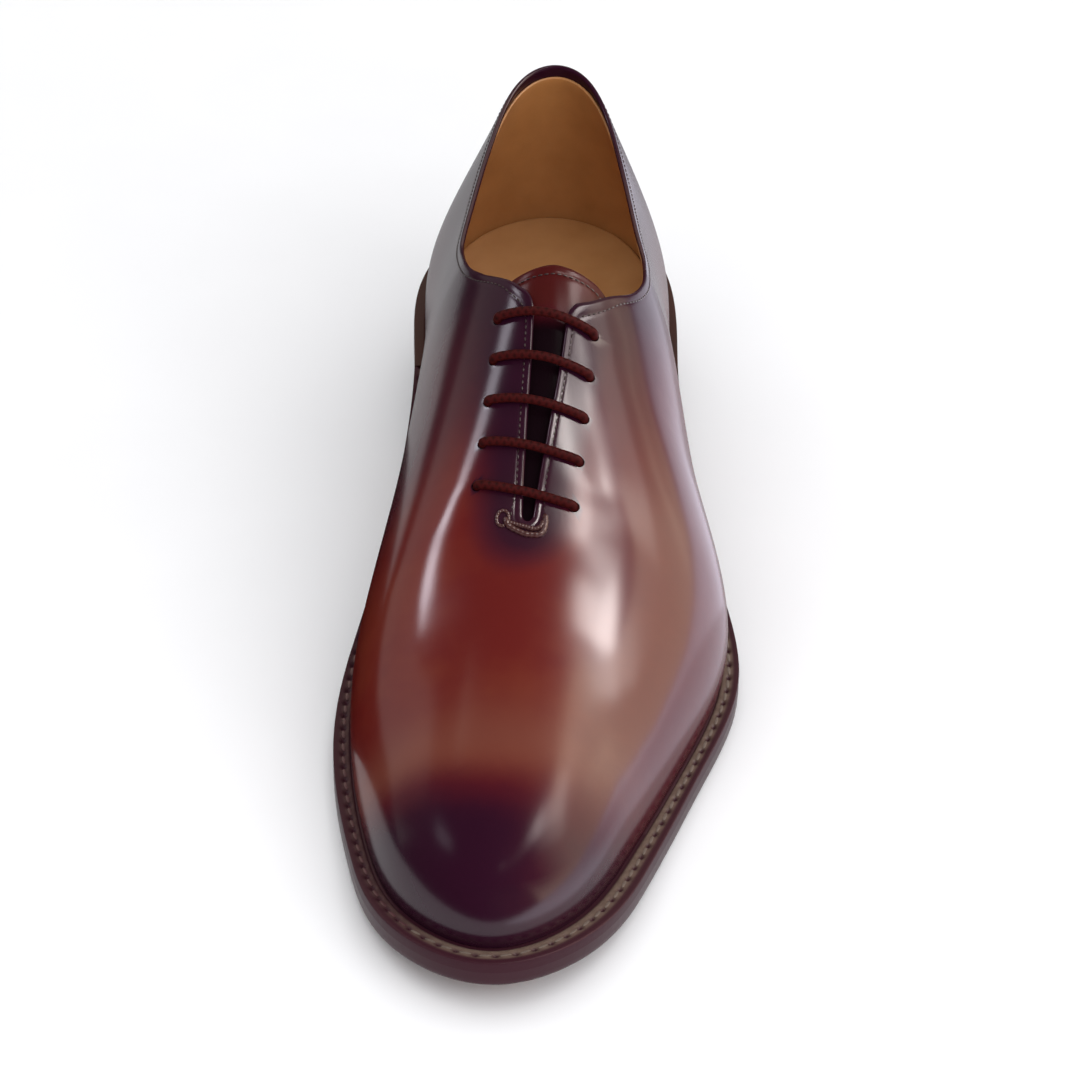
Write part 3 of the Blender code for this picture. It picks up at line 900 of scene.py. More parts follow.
@dataclass(frozen=True)
class SoleLeather(Finish):
    """Sole bend, hand-stained: amber patina underneath, burgundy border with a dark line painted in the
    stitch channel as its shade, and waxed burgundy edge.
    """

    name: str = "stained_sole_leather"
    amber: str = "#94561c"
    russet: str = "#6f3312"
    border: str = "#4a1014"
    edge: str = "#371822"
    channel: str = "#1a070b"
    border_mm: float = 8.6
    border_fade_mm: float = 2.5
    edge_mm: Span = (0.3, 2.2)
    channel_mm: float = 0.8
    warm: Span = (0.3, 0.66)
    cloud_mm: float = 55.0
    fibre_mm: float = 1.2
    fibre_depth_mm: float = 0.04
    roughness: Span = (0.26, 0.42)

    def dress(self, tree: bpy.types.NodeTree, shader: bpy.types.Node) -> None:
        """Builds the patina and its border, which follows the distance from the sole's edge."""
        place = add_node(tree, "TexCoord").outputs["Object"]
        inset = add_node(tree, "Attribute", {"attribute_name": "inset"}).outputs["Fac"]
        cloud, fibre = (
            add_node(tree, "TexNoise", inputs={
                "Vector": place, "Scale": per_metre(size), "Detail": 3.0}).outputs["Fac"]
            for size in (self.cloud_mm, self.fibre_mm)
        )
        inner_mm = (self.border_mm, self.border_mm + self.border_fade_mm)
        warm, inner, outer = (
            add_node(tree, "MapRange", SMOOTH, {
                "Value": value, "From Min": low, "From Max": high}).outputs["Result"]
            for value, (low, high) in ((cloud, self.warm), (inset, inner_mm), (inset, self.edge_mm))
        )
        # Dark line in the stitch channel: painted shade of the cut groove.
        cut = add_node(tree, "Math", {"operation": "COMPARE"}, {
            0: inset, 1: self.border_mm, 2: self.channel_mm}).outputs[0]
        tone = add_node(tree, "Mix", RGBA, {0: warm, 6: colour(self.russet), 7: colour(self.amber)})
        tone = add_node(tree, "Mix", RGBA, {0: inner, 6: colour(self.border), 7: tone.outputs[2]})
        tone = add_node(tree, "Mix", RGBA, {0: cut, 6: tone.outputs[2], 7: colour(self.channel)})
        tone = add_node(tree, "Mix", RGBA, {0: outer, 6: colour(self.edge), 7: tone.outputs[2]})
        tree.links.new(tone.outputs[2], shader.inputs["Base Color"])
        self.raise_grain(tree, shader, fibre, self.fibre_depth_mm, 0.4)
        rough = add_node(tree, "MapRange", inputs={
            "Value": fibre, "To Min": self.roughness[0], "To Max": self.roughness[1]})
        tree.links.new(rough.outputs["Result"], shader.inputs["Roughness"])
        self.polish(shader, ior=1.5, specular_ior_level=0.15, coat_weight=0.05, coat_roughness=0.2)


@dataclass(frozen=True)
class Rubber(Mottled):
    """Moulded rubber: dark slate with a faint bloom and a fine moulded grit."""

    name: str = "moulded_rubber"
    light: str = "#322f37"
    dark: str = "#232128"
    cloud_mm: float = 0.8
    grit_depth_mm: float = 0.05

    def dress(self, tree: bpy.types.NodeTree, shader: bpy.types.Node) -> None:
        """Builds the bloom and the grit."""
        grit = self.mottle(tree, shader)
        self.raise_grain(tree, shader, grit, self.grit_depth_mm, 0.5)
        self.polish(shader, ior=1.52, roughness=self.roughness)


@dataclass(frozen=True)
class Thread(Mottled):
    """Waxed linen thread: two twisted tones."""

    cloud_mm: float = 0.6
    coat: float = 0.2


@dataclass(frozen=True)
class WaxedCotton(Finish):
    """Round waxed cotton lace: a tight diamond braid with a dull wax."""

    name: str = "waxed_cotton"
    light: str = "#3d0e0e"
    dark: str = "#270707"
    strands_along: float = 34.0
    strands_round: float = 5.0
    strand_depth_mm: float = 0.08

    def dress(self, tree: bpy.types.NodeTree, shader: bpy.types.Node) -> None:
        """Builds the braid from two crossing sets of strands."""
        girth = add_node(tree, "UVMap", {"uv_map": "run_and_girth"}).outputs["UV"]
        strands = []
        for lean in (1, -1):
            turned = add_node(tree, "Mapping", inputs={
                "Vector": girth, "Scale": (self.strands_along, lean * self.strands_round, 0.0)})
            # A wave of scale 1 has a period of a twentieth of 2 pi along its direction.
            strands.append(add_node(tree, "TexWave", {"bands_direction": "DIAGONAL"}, {
                "Vector": turned.outputs["Vector"], "Scale": 2 * math.pi / 20}).outputs["Fac"])
        braid = add_node(tree, "Math", {"operation": "MAXIMUM"}, dict(enumerate(strands))).outputs[0]
        tone = add_node(tree, "Mix", RGBA, {0: braid, 6: colour(self.dark), 7: colour(self.light)})
        tree.links.new(tone.outputs[2], shader.inputs["Base Color"])
        self.raise_grain(tree, shader, braid, self.strand_depth_mm, 0.6)
        self.polish(shader, ior=1.45, roughness=0.55, specular_ior_level=0.05)


CALF = BurnishedCalf()
# The tongue's calf is darker, its plum black near black: painted shade under the facings.
TONGUE_CALF = BurnishedCalf("tongue_calf", red_brown="#3f0d0c", chestnut="#451610", plum_black="#12050b")
LINING = PlainLeather("lining_leather", "#c48850", "#9c6636", coat=0.1)
SOCK = PlainLeather("sock_leather", "#c4925f", "#a3713f")
RAND_LEATHER = PlainLeather("rand_leather", "#3d1a17", "#26100f", roughness=0.4, specular=0.15, coat=0.05)
HEEL_LIFTS = PlainLeather(
    "heel_lift_leather", "#38161a", "#240d12", cloud_mm=5.0, roughness=0.38, specular=0.15, coat=0.08)
EDGE_THREAD = Thread("edge_thread", "#2c0f12", "#16060a")
TACK_THREAD = Thread("tack_thread", "#55302c", "#2c1112", roughness=0.32)
WELT_THREAD = Thread("welt_thread", "#786a5f", "#5a4a44")
# Darker thread for the welt stitches of the medial side: painted shade.
STAINED_THREAD = Thread("stained_welt_thread", "#5a3034", "#371620")
CHANNEL_THREAD = Thread("channel_thread", "#6a3c4a", "#4c2632")
PAPER = Mottled("matt_paper", "#f7f7f9", "#f1f1f3", cloud_mm=60.0, roughness=0.9, specular=0.0)


@dataclass(frozen=True)
class Patina:
    """Where the calf is dyed and polished by hand, and where shade and a reflection are painted on it, in
    millimetres and in shares of 1.
    """

    lateral_side: Span = (-10.0, 25.0)
    medial_side: Span = (-26.0, -4.0)
    feather_reach: float = 9.0
    feather_dye: float = 0.55
    toe_dye: Span = (25.0, 56.0)
    toe_dip: float = 10.0
    toe_lean: float = 4.0
    toe_bare: float = 0.35
    facing_near: float = 5.0
    # Value on the medial side, and how much less it is on the lateral side.
    facing_far: Span = (19.0, 7.0)
    facing_dye: Span = (0.9, 0.1)
    collar: Span = (2.0, 26.0)
    collar_dye: float = 0.75
    heel: Span = (235.0, 300.0)
    heel_dye: float = 0.7
    quarter: Span = (112.0, 160.0)
    quarter_dye: float = 0.65
    quarter_bare: float = 0.85
    # The lateral wall is darker: painted shade, against the fill light that falls stronger on that side.
    wall: Span = (4.0, 22.0)
    wall_dye: float = 0.4
    # A fawn band across the vamp: painted reflection.
    fade: float = 0.75
    fade_along: float = 53.0
    fade_width: float = 13.0
    dull_toe: Span = (34.0, 62.0)
    dull_medial: Span = (-25.0, -5.0)
    dull_over: Span = (9.0, 17.0)
    dull_rise: float = 5.0
    shine_lateral: Span = (0.0, 18.0)
    shine_from: float = 6.0
    shine_slant: float = 0.55
    shine_along: float = 40.0
    shine_share: Span = (0.5, 0.08)
    top_start: float = 142.0
    top_lead: float = 22.0
    top_turn: Span = (-6.0, 6.0)
    top_run: float = 16.0
    top_reach: Span = (10.0, 28.0)
    outer_along: Span = (124.0, 138.0)
    outer_from: Span = (6.0, 13.0)
    outer_to: Span = (20.0, 42.0)
    outer_side: Span = (0.0, 10.0)
    dull_facing: float = 0.55

    def burnish(self, points: Array) -> Array:
        """How dark the calf is, from 0 to 1: dye at the toe, facings, collar, heel, quarter and feather,
        and painted shade on the lateral wall.
        """
        along, beside = points[..., 1], LAST.beside_crown(points)
        rise = points[..., 2] - LAST.feather_height(along)
        # The lateral share makes that side lighter: partly the calf's own patina, partly painted light on
        # the side that faces the lamps.
        lateral = smoothstep(*self.lateral_side, beside)
        medial = 1 - smoothstep(*self.medial_side, beside)
        near_welt = np.exp(-np.maximum(rise, 0) / self.feather_reach)
        from_toe = along - self.toe_dip * near_welt - self.toe_lean * medial
        facing_far, facing_dye = (
            most - less * lateral for most, less in (self.facing_far, self.facing_dye))
        clear = np.ones(along.shape)
        for share in (
            (1 - smoothstep(*self.toe_dye, from_toe)) * (1 - self.toe_bare * lateral),
            (1 - smoothstep(self.facing_near, facing_far, -LAST.slit_depth(points))) * facing_dye,
            self.collar_dye * (1 - smoothstep(*self.collar, -LAST.collar_depth(points))),
            self.heel_dye * smoothstep(*self.heel, along),
            self.quarter_dye * smoothstep(*self.quarter, along) * (1 - self.quarter_bare * lateral),
            self.feather_dye * near_welt,
            self.wall_dye * smoothstep(*self.wall, beside),
        ):
            clear = clear * (1 - share)
        return 1 - clear

    def faded(self, points: Array) -> Array:
        """How far the calf is painted fawn, from 0 to 1: a soft band across the vamp, as a painted
        reflection.
        """
        return self.fade * bump(points[..., 1] - self.fade_along, self.fade_width)

    def gloss(self, points: Array) -> Array:
        """How far the wax is polished, from 0 to 1: duller on top of the toe and by the upper eyelets."""
        along, beside = points[..., 1], LAST.beside_crown(points)
        slit = -LAST.slit_depth(points)
        medial = 1 - smoothstep(*self.dull_medial, beside)
        rise = points[..., 2] - LAST.feather_height(along) - self.dull_rise * medial
        slant = beside + self.shine_from - self.shine_slant * (self.shine_along - along)
        lateral = smoothstep(*self.shine_lateral, slant)
        toe = (1 - smoothstep(*self.dull_toe, along)) * smoothstep(*self.dull_over, rise)
        toe = toe * (1 - self.shine_share[0] * lateral) * (1 - self.shine_share[1] * medial)
        start = self.top_start - self.top_lead * (1 - smoothstep(*self.top_turn, beside))
        top = smoothstep(start, start + self.top_run, along) * (1 - smoothstep(*self.top_reach, slit))
        outer = smoothstep(*self.outer_along, along) * smoothstep(*self.outer_side, beside)
        outer = outer * smoothstep(*self.outer_from, slit) * (1 - smoothstep(*self.outer_to, slit))
        return (1 - toe) * (1 - self.dull_facing * np.maximum(top, outer))


# Sub-assemblies.


@dataclass
class Upper:
    """Wholecut upper: calf folded in at its edge, tan lining, edge stitching and the tack at the throat."""

    columns: int = 520
    lining_columns: int = 260
    stitch_columns: int = 1600
    corner_along: float = 176.0
    corner_reach: float = 9.0
    corner_weight: float = 2.5
    seam_reach: float = 0.004
    seam_weight: float = 6.0
    calf: float = 1.3
    fold: float = 0.7
    band: float = 7.0
    tuck: float = 0.25
    tuck_rise: float = 3.0
    stitch_line: float = 1.95
    stitch_flare: float = 1.5
    stitch_sink: float = 0.04
    groove: float = 0.1
    flange: float = 3.2
    lining_gap: float = 0.05
    back_seam: float = 0.25
    patina: Patina = Patina()
    edge_stitch: Stitch = Stitch(pitch=1.75, length=1.25, width=0.5, height=0.42)
    # Strands of the tack, beside the crown line and along from the foot of the slit, and their girths.
    tack_moon: Table = (
        (-6.0, 0.6), (-4.9, -1.4), (-2.2, -2.9), (0.6, -3.7), (3.0, -3.7), (4.6, -2.3), (4.9, -0.2),
        (4.5, 1.8))
    tack_bar: Table = ((-5.2, -0.6), (-3.0, -1.2), (-0.6, -1.7), (1.8, -2.2), (3.6, -1.6), (4.3, 0.2))
    tack_loop: Table = ((-6.5, 1.6), (0.3, 1.9))
    tack_girths: tuple[float, float, float] = (0.75, 0.62, 0.45)
    tack_steps: int = 60

    def turns(self, count: int) -> Array:
        """Turns of the ribs, closer at the facing corners and the back seam."""
        turn = np.linspace(0, 1, 8001)
        crown = LAST.ribs(turn)[:, 4]
        corner = self.corner_weight * bump(crown - self.corner_along, self.corner_reach)
        weight = 1 + corner + self.seam_weight * bump(turn - 0.5, self.seam_reach)
        total = np.concatenate([[0.0], np.cumsum((weight[1:] + weight[:-1]) / 2)])
        return np.interp(np.arange(count + 1) / count, total / total[-1], turn)

    def low_heights(self, turn: Array, rises: Sequence[float]) -> Array:
        """Heights on each rib that lie so many millimetres above the feather line."""
        return np.asarray(rises)[None, :] / (3 * LAST.ribs(turn)[:, 5:6])

    def make_calf(self) -> bpy.types.Object:
        """Builds the calf: its outer face, the folded edge and the face against the lining."""
        turn = self.turns(self.columns)
        rises = np.array([0.0, 0.4, 0.9, 1.6, 2.6, 4.2])
        low = self.low_heights(turn, rises)
        line = -self.stitch_line
        band = np.array([-self.band, -5.4, -4.2, -3.3, -2.7, line - 0.35, line, line + 0.35, -1.25])
        angle = np.radians(np.arange(0, 181, 15))
        folded = self.fold * (np.sin(angle) - 1)
        inside = np.array([-2.2, -4.0, -self.band])
        heights = LAST.heights_at(turn, np.concatenate([band, folded, inside]))
        wall = low[:, -1:] + (heights[:, :1] - low[:, -1:]) * np.linspace(0, 1, 38)[None, 1:-1]
        down = heights[:, -1:] * np.linspace(1, 0, 20)[None, 1:]
        height = np.concatenate([low, wall, heights, down, low[:, :1]], axis=1)
        foot = -self.tuck * (1 - smoothstep(0, self.tuck_rise, rises))
        edge = -self.groove * bump(band - line, 0.3)
        shown = np.concatenate([foot, np.zeros(wall.shape[1]), edge])
        over = self.fold * (np.cos(angle) - 1)
        within = np.concatenate([[-1.55, -1.33], np.full(1 + down.shape[1], -self.calf)])
        hidden = np.concatenate([over, within, foot[:1]])
        seam = self.back_seam * bump((turn - 0.5) * LAST.ribs.length, 0.5)
        offsets = np.concatenate([shown - seam[:, None], hidden + 0 * seam[:, None]], axis=1)
        base = LAST.point(turn[:, None], height)
        points = base + LAST.normal(turn[:, None], height) * offsets[..., None]
        patina = self.patina
        bm = skin(points, burnish=patina.burnish(base), faded=patina.faded(base), gloss=patina.gloss(base))
        return add_piece("upper_calf", bm, CALF, ["upper"])

    def make_lining(self) -> bpy.types.Object:
        """Builds the lining, from under the folded edge to the insole."""
        turn = self.turns(self.lining_columns)
        out, within = -self.calf - self.lining_gap, -LAST.wall
        radius = (out - within) / 2
        angle = np.radians(np.arange(0, 181, 30))
        top = LAST.heights_at(turn, -self.flange - radius + radius * np.sin(angle))
        up = top[:, :1] * np.linspace(0, 1, 22)[None, :-1]
        down = top[:, -1:] * np.linspace(1, 0, 22)[None, 1:]
        height = np.concatenate([up, top, down, up[:, :1]], axis=1)
        offset = np.concatenate([
            np.full(up.shape[1], out), (out + within) / 2 + radius * np.cos(angle),
            np.full(down.shape[1], within), [out]])
        base = LAST.point(turn[:, None], height)
        points = base + LAST.normal(turn[:, None], height) * offset[None, :, None]
        return add_piece("upper_lining", skin(points), LINING)

    def make_edge_stitches(self) -> None:
        """Builds the row of stitches round collar and facings, which flares at the foot of the slit."""
        turn = self.turns(self.stitch_columns)
        near, far = LAST.heights_at(turn, [-self.stitch_line, -self.stitch_line - self.stitch_flare]).T
        from_foot = LAST.point(turn, near)[:, 1] - LAST.slit_foot
        height = near + (far - near) * (1 - smoothstep(0.5, 8.0, from_foot))
        row, normal = LAST.point(turn, height), LAST.normal(turn, height)
        keep = row[:, 1] > LAST.slit_foot + 0.6
        row, normal = row[keep], normal[keep]
        bm = self.edge_stitch.sew(row - normal * self.stitch_sink, normal)
        add_piece("edge_stitches", bm, EDGE_THREAD)

    def make_throat_tack(self) -> None:
        """Builds the hand-sewn half moon below the slit: two strands and a small loop at its medial end."""
        turns = np.radians(np.arange(-60, 301, 30))
        middle, reach = np.array(self.tack_loop).T
        loop = middle + reach * np.stack([np.cos(turns), np.sin(turns)], -1)
        step = np.arange(self.tack_steps)
        ends = np.clip(step * (self.tack_steps - 1 - step) / 150, 0, 1) ** 0.5
        joined = bmesh.new()
        for plan, girth in zip((self.tack_moon, self.tack_bar, loop), self.tack_girths):
            beside, along = np.array(plan).T
            points, _ = LAST.over(beside, LAST.slit_foot + along, girth * 0.45)
            twist = 1 + 0.1 * np.sin(step * 1.5)
            strand = tube(smooth_path(points, self.tack_steps), girth * twist * ends, 10)
            mesh = bpy.data.meshes.new("strand")
            strand.to_mesh(mesh)
            strand.free()
            joined.from_mesh(mesh)
            bpy.data.meshes.remove(mesh)
        add_piece("throat_tack", joined, TACK_THREAD)


@dataclass
class Tongue:
    """Calf tongue under the facings, with a stitched round top."""

    foot: float = 112.0
    top: float = 180.5
    half_width: Table = ((112.0, 15.0), (160.0, 19.5), (180.5, 21.0))
    corner: float = 10.0
    thickness: float = 1.8
    gap: float = 0.4
    hem: float = 2.6
    hem_start: float = 150.0
    hem_dent: float = 0.14
    shown: Span = (163.0, 172.0)
    shown_bare: float = 0.8
    shown_gloss: float = 0.25
    hem_stitch: Stitch = Stitch(pitch=1.7, length=1.3, width=0.45, height=0.36)

    def half(self, along: Array, inset: float = 0.0) -> Array:
        """Half width, with the top corners rounded, of the edge or of a line inside it."""
        round_off = self.corner - inset
        into = np.clip((along - self.top + self.corner) / round_off, 0, 1)
        return smooth_table(self.half_width, along) - inset - round_off * (1 - np.sqrt(1 - into**2))

    def make(self) -> None:
        """Builds the flap and the stitches of its hem."""
        round_edge = self.thickness / 2
        share = np.sin(np.pi / 2 * np.linspace(0, 1, 44))
        swell = np.radians(np.arange(0, 91, 15))
        along = np.concatenate([
            self.foot + (self.top - round_edge - self.foot) * share[:-1],
            self.top - round_edge + round_edge * np.sin(swell)])[:, None]
        thick = np.concatenate([np.ones(len(share) - 1), np.cos(swell)])[:, None]
        across = np.linspace(-1, 1, 37)
        side = np.radians(np.arange(60, -61, -30))
        reach = np.concatenate([across, np.ones(len(side)), across[::-1], -np.ones(len(side)), across[:1]])
        beyond = np.concatenate([0 * across, np.cos(side), 0 * across, -np.cos(side), [0]])
        level = np.concatenate([0 * across + 1, np.sin(side), 0 * across - 1, -np.sin(side), [1]])
        half = self.half(along)
        beside = (half - round_edge) * reach + round_edge * beyond * thick
        middle = -LAST.wall - self.gap - round_edge
        hem_gap = np.minimum(self.top - along, half * (1 - np.abs(reach)))
        dent = self.hem_dent * bump(hem_gap - self.hem, 0.4) * (level > 0)
        points, _ = LAST.over(beside, along, middle + round_edge * level * thick - dent)
        # Below where it shows above the facings, the tongue takes the plum black: painted shade of the
        # slit.
        bare = self.shown_bare * smoothstep(*self.shown, along + 0 * beside)
        bm = skin(points, burnish=1 - bare, gloss=self.shown_gloss * bare)
        add_piece("tongue_flap", bm, TONGUE_CALF, ["tongue"])
        rise = np.linspace(self.hem_start, self.top - self.hem, 160)
        edge = np.maximum(self.half(rise, self.hem), 0)
        spread = np.linspace(-1, 1, 40)[1:-1]
        beside = np.concatenate([-edge, edge[-1] * spread, edge[::-1]])
        along = np.concatenate([rise, np.full(len(spread), rise[-1]), rise[::-1]])
        bm = self.hem_stitch.sew(*LAST.over(beside, along, middle + round_edge + 0.04))
        add_piece("tongue_stitches", bm, EDGE_THREAD)


@dataclass
class Lace:
    """Round waxed lace: five straight bars whose ends dive through the blind eyelets."""

    diameter: float = 2.5
    clear: float = 0.12
    bars: int = 5
    first: float = 125.2
    last: float = 166.8
    skew: float = 2.2
    medial: float = 14.0
    lateral: float = 11.8
    bend: float = 2.0
    # The dive at a bar's end: shares of the bend outwards, and of the bar's height over the facing.
    dive_out: tuple[float, ...] = (0.62, 0.98, 1.1, 1.12)
    dive_down: tuple[float, ...] = (0.93, 0.45, -0.35)
    end_depth: float = 2.4
    end_round: int = 4
    sides: int = 18
    hole: float = 2.9
    lining_hole: float = 5.0
    hole_out: float = 0.24
    hole_depth: float = 8.0
    hole_rim: float = 0.25
    hole_reach: float = 5.0

    def along(self, bar: int, beside: Array) -> Array:
        """Places along the shoe of points of a bar, by their distance beside the crown line."""
        share = np.where(beside < 0, beside / self.medial, beside / self.lateral)
        return self.first + (self.last - self.first) * bar / (self.bars - 1) - self.skew * share

    def route(self, bar: int) -> Array:
        """Middle line of a bar, resting on the facings, with its dive at both ends."""
        lift = self.diameter / 2 + self.clear
        start, end = -self.medial + self.bend, self.lateral - self.bend
        flat = np.linspace(start, end, 15)
        out = self.bend * np.array(self.dive_out)
        drop = np.array([*(lift * share for share in self.dive_down), -self.end_depth])
        beside = np.concatenate([(start - out)[::-1], flat, end + out])
        height = np.concatenate([drop[::-1], np.full(len(flat), lift), drop])
        return LAST.over(beside, self.along(bar, beside), height)[0]

    def make(self) -> None:
        """Builds the bars, with round ends."""
        for bar in range(self.bars):
            path = smooth_path(self.route(bar), 84)
            step = np.arange(len(path))
            from_end = np.minimum(step, step[::-1]) / self.end_round
            radius = self.diameter / 2 * np.sqrt(1 - np.clip(1 - from_end, 0, 1) ** 2)
            bm = tube(path, radius, self.sides)
            add_piece(f"waxed_lace_{bar + 1}", bm, WaxedCotton(), [f"lace_bar_{bar + 1}"])

    def punch(self, piece: bpy.types.Object, width: float) -> None:
        """Cuts the ten eyelet holes through a piece of the upper, and paints shade dark round their rims.

        Args:
            piece: the piece to cut.
            width: the holes' diameter.
        """
        bm = bmesh.new()
        holes = []
        ends = np.array([-self.medial - self.hole_out, self.lateral + self.hole_out])
        for bar in range(self.bars):
            points, normals = LAST.over(ends, self.along(bar, ends), 0.0)
            holes += zip(LAST.metres(points), normals)
        for place, normal in holes:
            turn = Vector((0, 0, 1)).rotation_difference(Vector(normal)).to_matrix().to_4x4()
            bmesh.ops.create_cone(
                bm, cap_ends=True, segments=20, radius1=width / 2 * MM, radius2=width / 2 * MM,
                depth=self.hole_depth * MM, matrix=Matrix.Translation(Vector(place)) @ turn)
        cutter = add_object("punch", bm)
        cut = piece.modifiers.new("eyelets", "BOOLEAN")
        cut.operation = "DIFFERENCE"
        cut.object = cutter
        graph = bpy.context.evaluated_depsgraph_get()
        punched = bpy.data.meshes.new_from_object(piece.evaluated_get(graph))
        piece.modifiers.clear()
        piece.data = punched
        bpy.data.objects.remove(cutter)
        places = np.array([vert.co for vert in punched.vertices])
        rim = np.zeros(len(places), bool)
        for place, normal in holes:
            away = places - place
            off_axis = np.linalg.norm(away - np.outer(away @ normal, normal), axis=1)
            close = np.linalg.norm(away, axis=1) < self.hole_reach * MM
            rim |= close & (off_axis < (width / 2 + self.hole_rim) * MM)
        # Painted shade: the rims take the darkest tone and the full wax.
        for name in ("burnish", "gloss"):
            if name in punched.attributes:
                data = punched.attributes[name].data
                for index in np.flatnonzero(rim):
                    data[index].value = 1.0


@dataclass
class Welt:
    """Welt round the forepart and the plain rand round the heel."""

    steps: int = 10
    seam: float = 0.44
    stitch: Stitch = Stitch(pitch=5.2, length=3.328, width=0.95, height=0.36, skew=6.0)
    stitch_sink: float = 0.05
    pit_depth: float = 0.8
    pit_length: float = 1.0
    pit_width: float = 0.16
    pit_stain: float = 1.3
    medial_rub: float = 0.2
    medial_side: Span = (-36.0, -12.0)
    stain_end: float = -27.0
    split: float = 0.0004

    def profile(self, turn: Array) -> tuple[Array, Array, Array]:
        """Section of the strip.

        Args:
            turn: turns of the sections.

        Returns:
            Offset from the feather line, depth below the top and tan share of each row, by turn; the tan
            share is the rub, less where shade is painted.
        """
        under = LAST.welt_thickness + LAST.seat_gap
        rows = np.array([
            # Share of the margin, more offset, depth below the top, rub and light: no tan by the upper is
            # painted shade of the groove, none at the edge is its stain.
            (0.00, -LAST.wall, under, 0.0),
            (0.00, -LAST.wall, 0.0, 0.0),
            (0.00, -0.2, 0.05, 0.0),
            (0.04, 0.0, 0.25, 0.0),
            (0.09, 0.0, 0.12, 0.3),
            (0.15, 0.0, 0.02, 1.0),
            *((share, 0.0, 0.0, 1.0) for share in (0.22, 0.29, 0.36, 0.43, 0.50)),
            (0.57, 0.0, 0.0, 0.9),
            (0.64, 0.0, 0.0, 0.6),
            (0.71, 0.0, 0.0, 0.15),
            (0.79, 0.0, 0.0, 0.0),
            (0.87, 0.0, 0.0, 0.0),
            (0.94, 0.0, 0.03, 0.0),
            (0.97, 0.0, 0.08, 0.0),
            (0.992, 0.0, 0.22, 0.0),
            (1.00, 0.0, 0.5, 0.0),
            (1.00, 0.0, 1.6, 0.0),
            (1.00, 0.0, under, 0.0),
            (0.00, -LAST.wall, under, 0.0),
        ])
        offset = rows[:, 0] * LAST.margin(turn)[:, None] + rows[:, 1]
        return offset, rows[:, 2] + 0 * offset, rows[:, 3] + 0 * offset

    def strip(self, turn: Array, pit: Array) -> bmesh.types.BMesh:
        """Mesh of a strip.

        Args:
            turn: turns of its sections.
            pit: how deep the stitching wheel pressed at each section, from 0 to 1.

        Returns:
            The mesh, closed at both ends, with its rub and painted shade.
        """
        offset, down, rub = self.profile(turn)
        margin = LAST.margin(turn)[:, None]
        across = bump(offset - self.seam * margin, self.pit_width * margin.mean())
        pressed = pit[:, None] * across * (down < 1)
        plan = LAST.plan_line(turn[:, None] + 0 * offset, offset)
        height = LAST.welt_top(plan[..., 1]) - down - self.pit_depth * pressed
        points = np.concatenate([plan, height[..., None]], axis=2)
        middle = points[:, :-1].mean(axis=1, keepdims=True) + 0 * points
        points = np.concatenate([middle[:1], points, middle[-1:]])
        # The medial side keeps less tan: painted shade of the side away from the lamps.
        kept = self.medial_rub + (1 - self.medial_rub) * smoothstep(*self.medial_side, plan[..., 0])
        rub = rub * kept * (1 - np.minimum(self.pit_stain * pressed, 1))
        return skin(points, rub=np.pad(rub, ((1, 1), (0, 0))))

    def stitch_path(self, turn: Array) -> tuple[Array, Array]:
        """Line of the welt's stitches and the normals of the welt there."""
        plan = LAST.plan_line(turn, self.seam * LAST.margin(turn))
        along = plan[:, 1]
        slope = (LAST.welt_top(along + 1) - LAST.welt_top(along - 1)) / 2
        path = np.concatenate([plan, LAST.welt_top(along)[:, None]], axis=1)
        return path, unit(np.stack([0 * slope, -slope, 1 + 0 * slope], -1))

    def make(self) -> None:
        """Builds the welt, its stitches, darker on the medial side as painted shade, and the rand."""
        lateral, medial = LAST.breast_turns()
        dense = np.linspace(medial + self.split, lateral + 1 - self.split, 4000)
        path, _ = self.stitch_path(dense)
        run = run_length(path)
        count = int(run[-1] / self.stitch.pitch)
        sections = np.linspace(0, 1, count * self.steps + 1)
        turn = np.interp(sections * run[-1], run, dense)
        pit = bump(np.abs((sections * count + 0.5) % 1 - 0.5) * self.stitch.pitch, self.pit_length)
        add_piece("welt_strip", self.strip(turn, pit), WeltLeather(), ["welt"])
        # Stitches up to the shade end take the darker thread, as painted shade.
        turned = round(run[np.argmax(path[:, 0] > self.stain_end)] / run[-1] * count)
        # A pitch a hair under its share of the run keeps the count of stitches whole.
        stitch = replace(self.stitch, pitch=run[-1] / count * 0.9999)
        for name, thread, first, last in (
            ("stained_welt_stitches", STAINED_THREAD, 0, turned),
            ("welt_stitches", WELT_THREAD, turned, count),
        ):
            row = np.interp(np.linspace(first, last, 3000) / count * run[-1], run, dense)
            path, normal = self.stitch_path(row)
            add_piece(name, stitch.sew(path - normal * self.stitch_sink, normal), thread)
        turn = np.linspace(lateral + self.split, medial - self.split, 180)
        add_piece("heel_rand_strip", self.strip(turn, 0 * turn), RAND_LEATHER, ["heel_rand"])


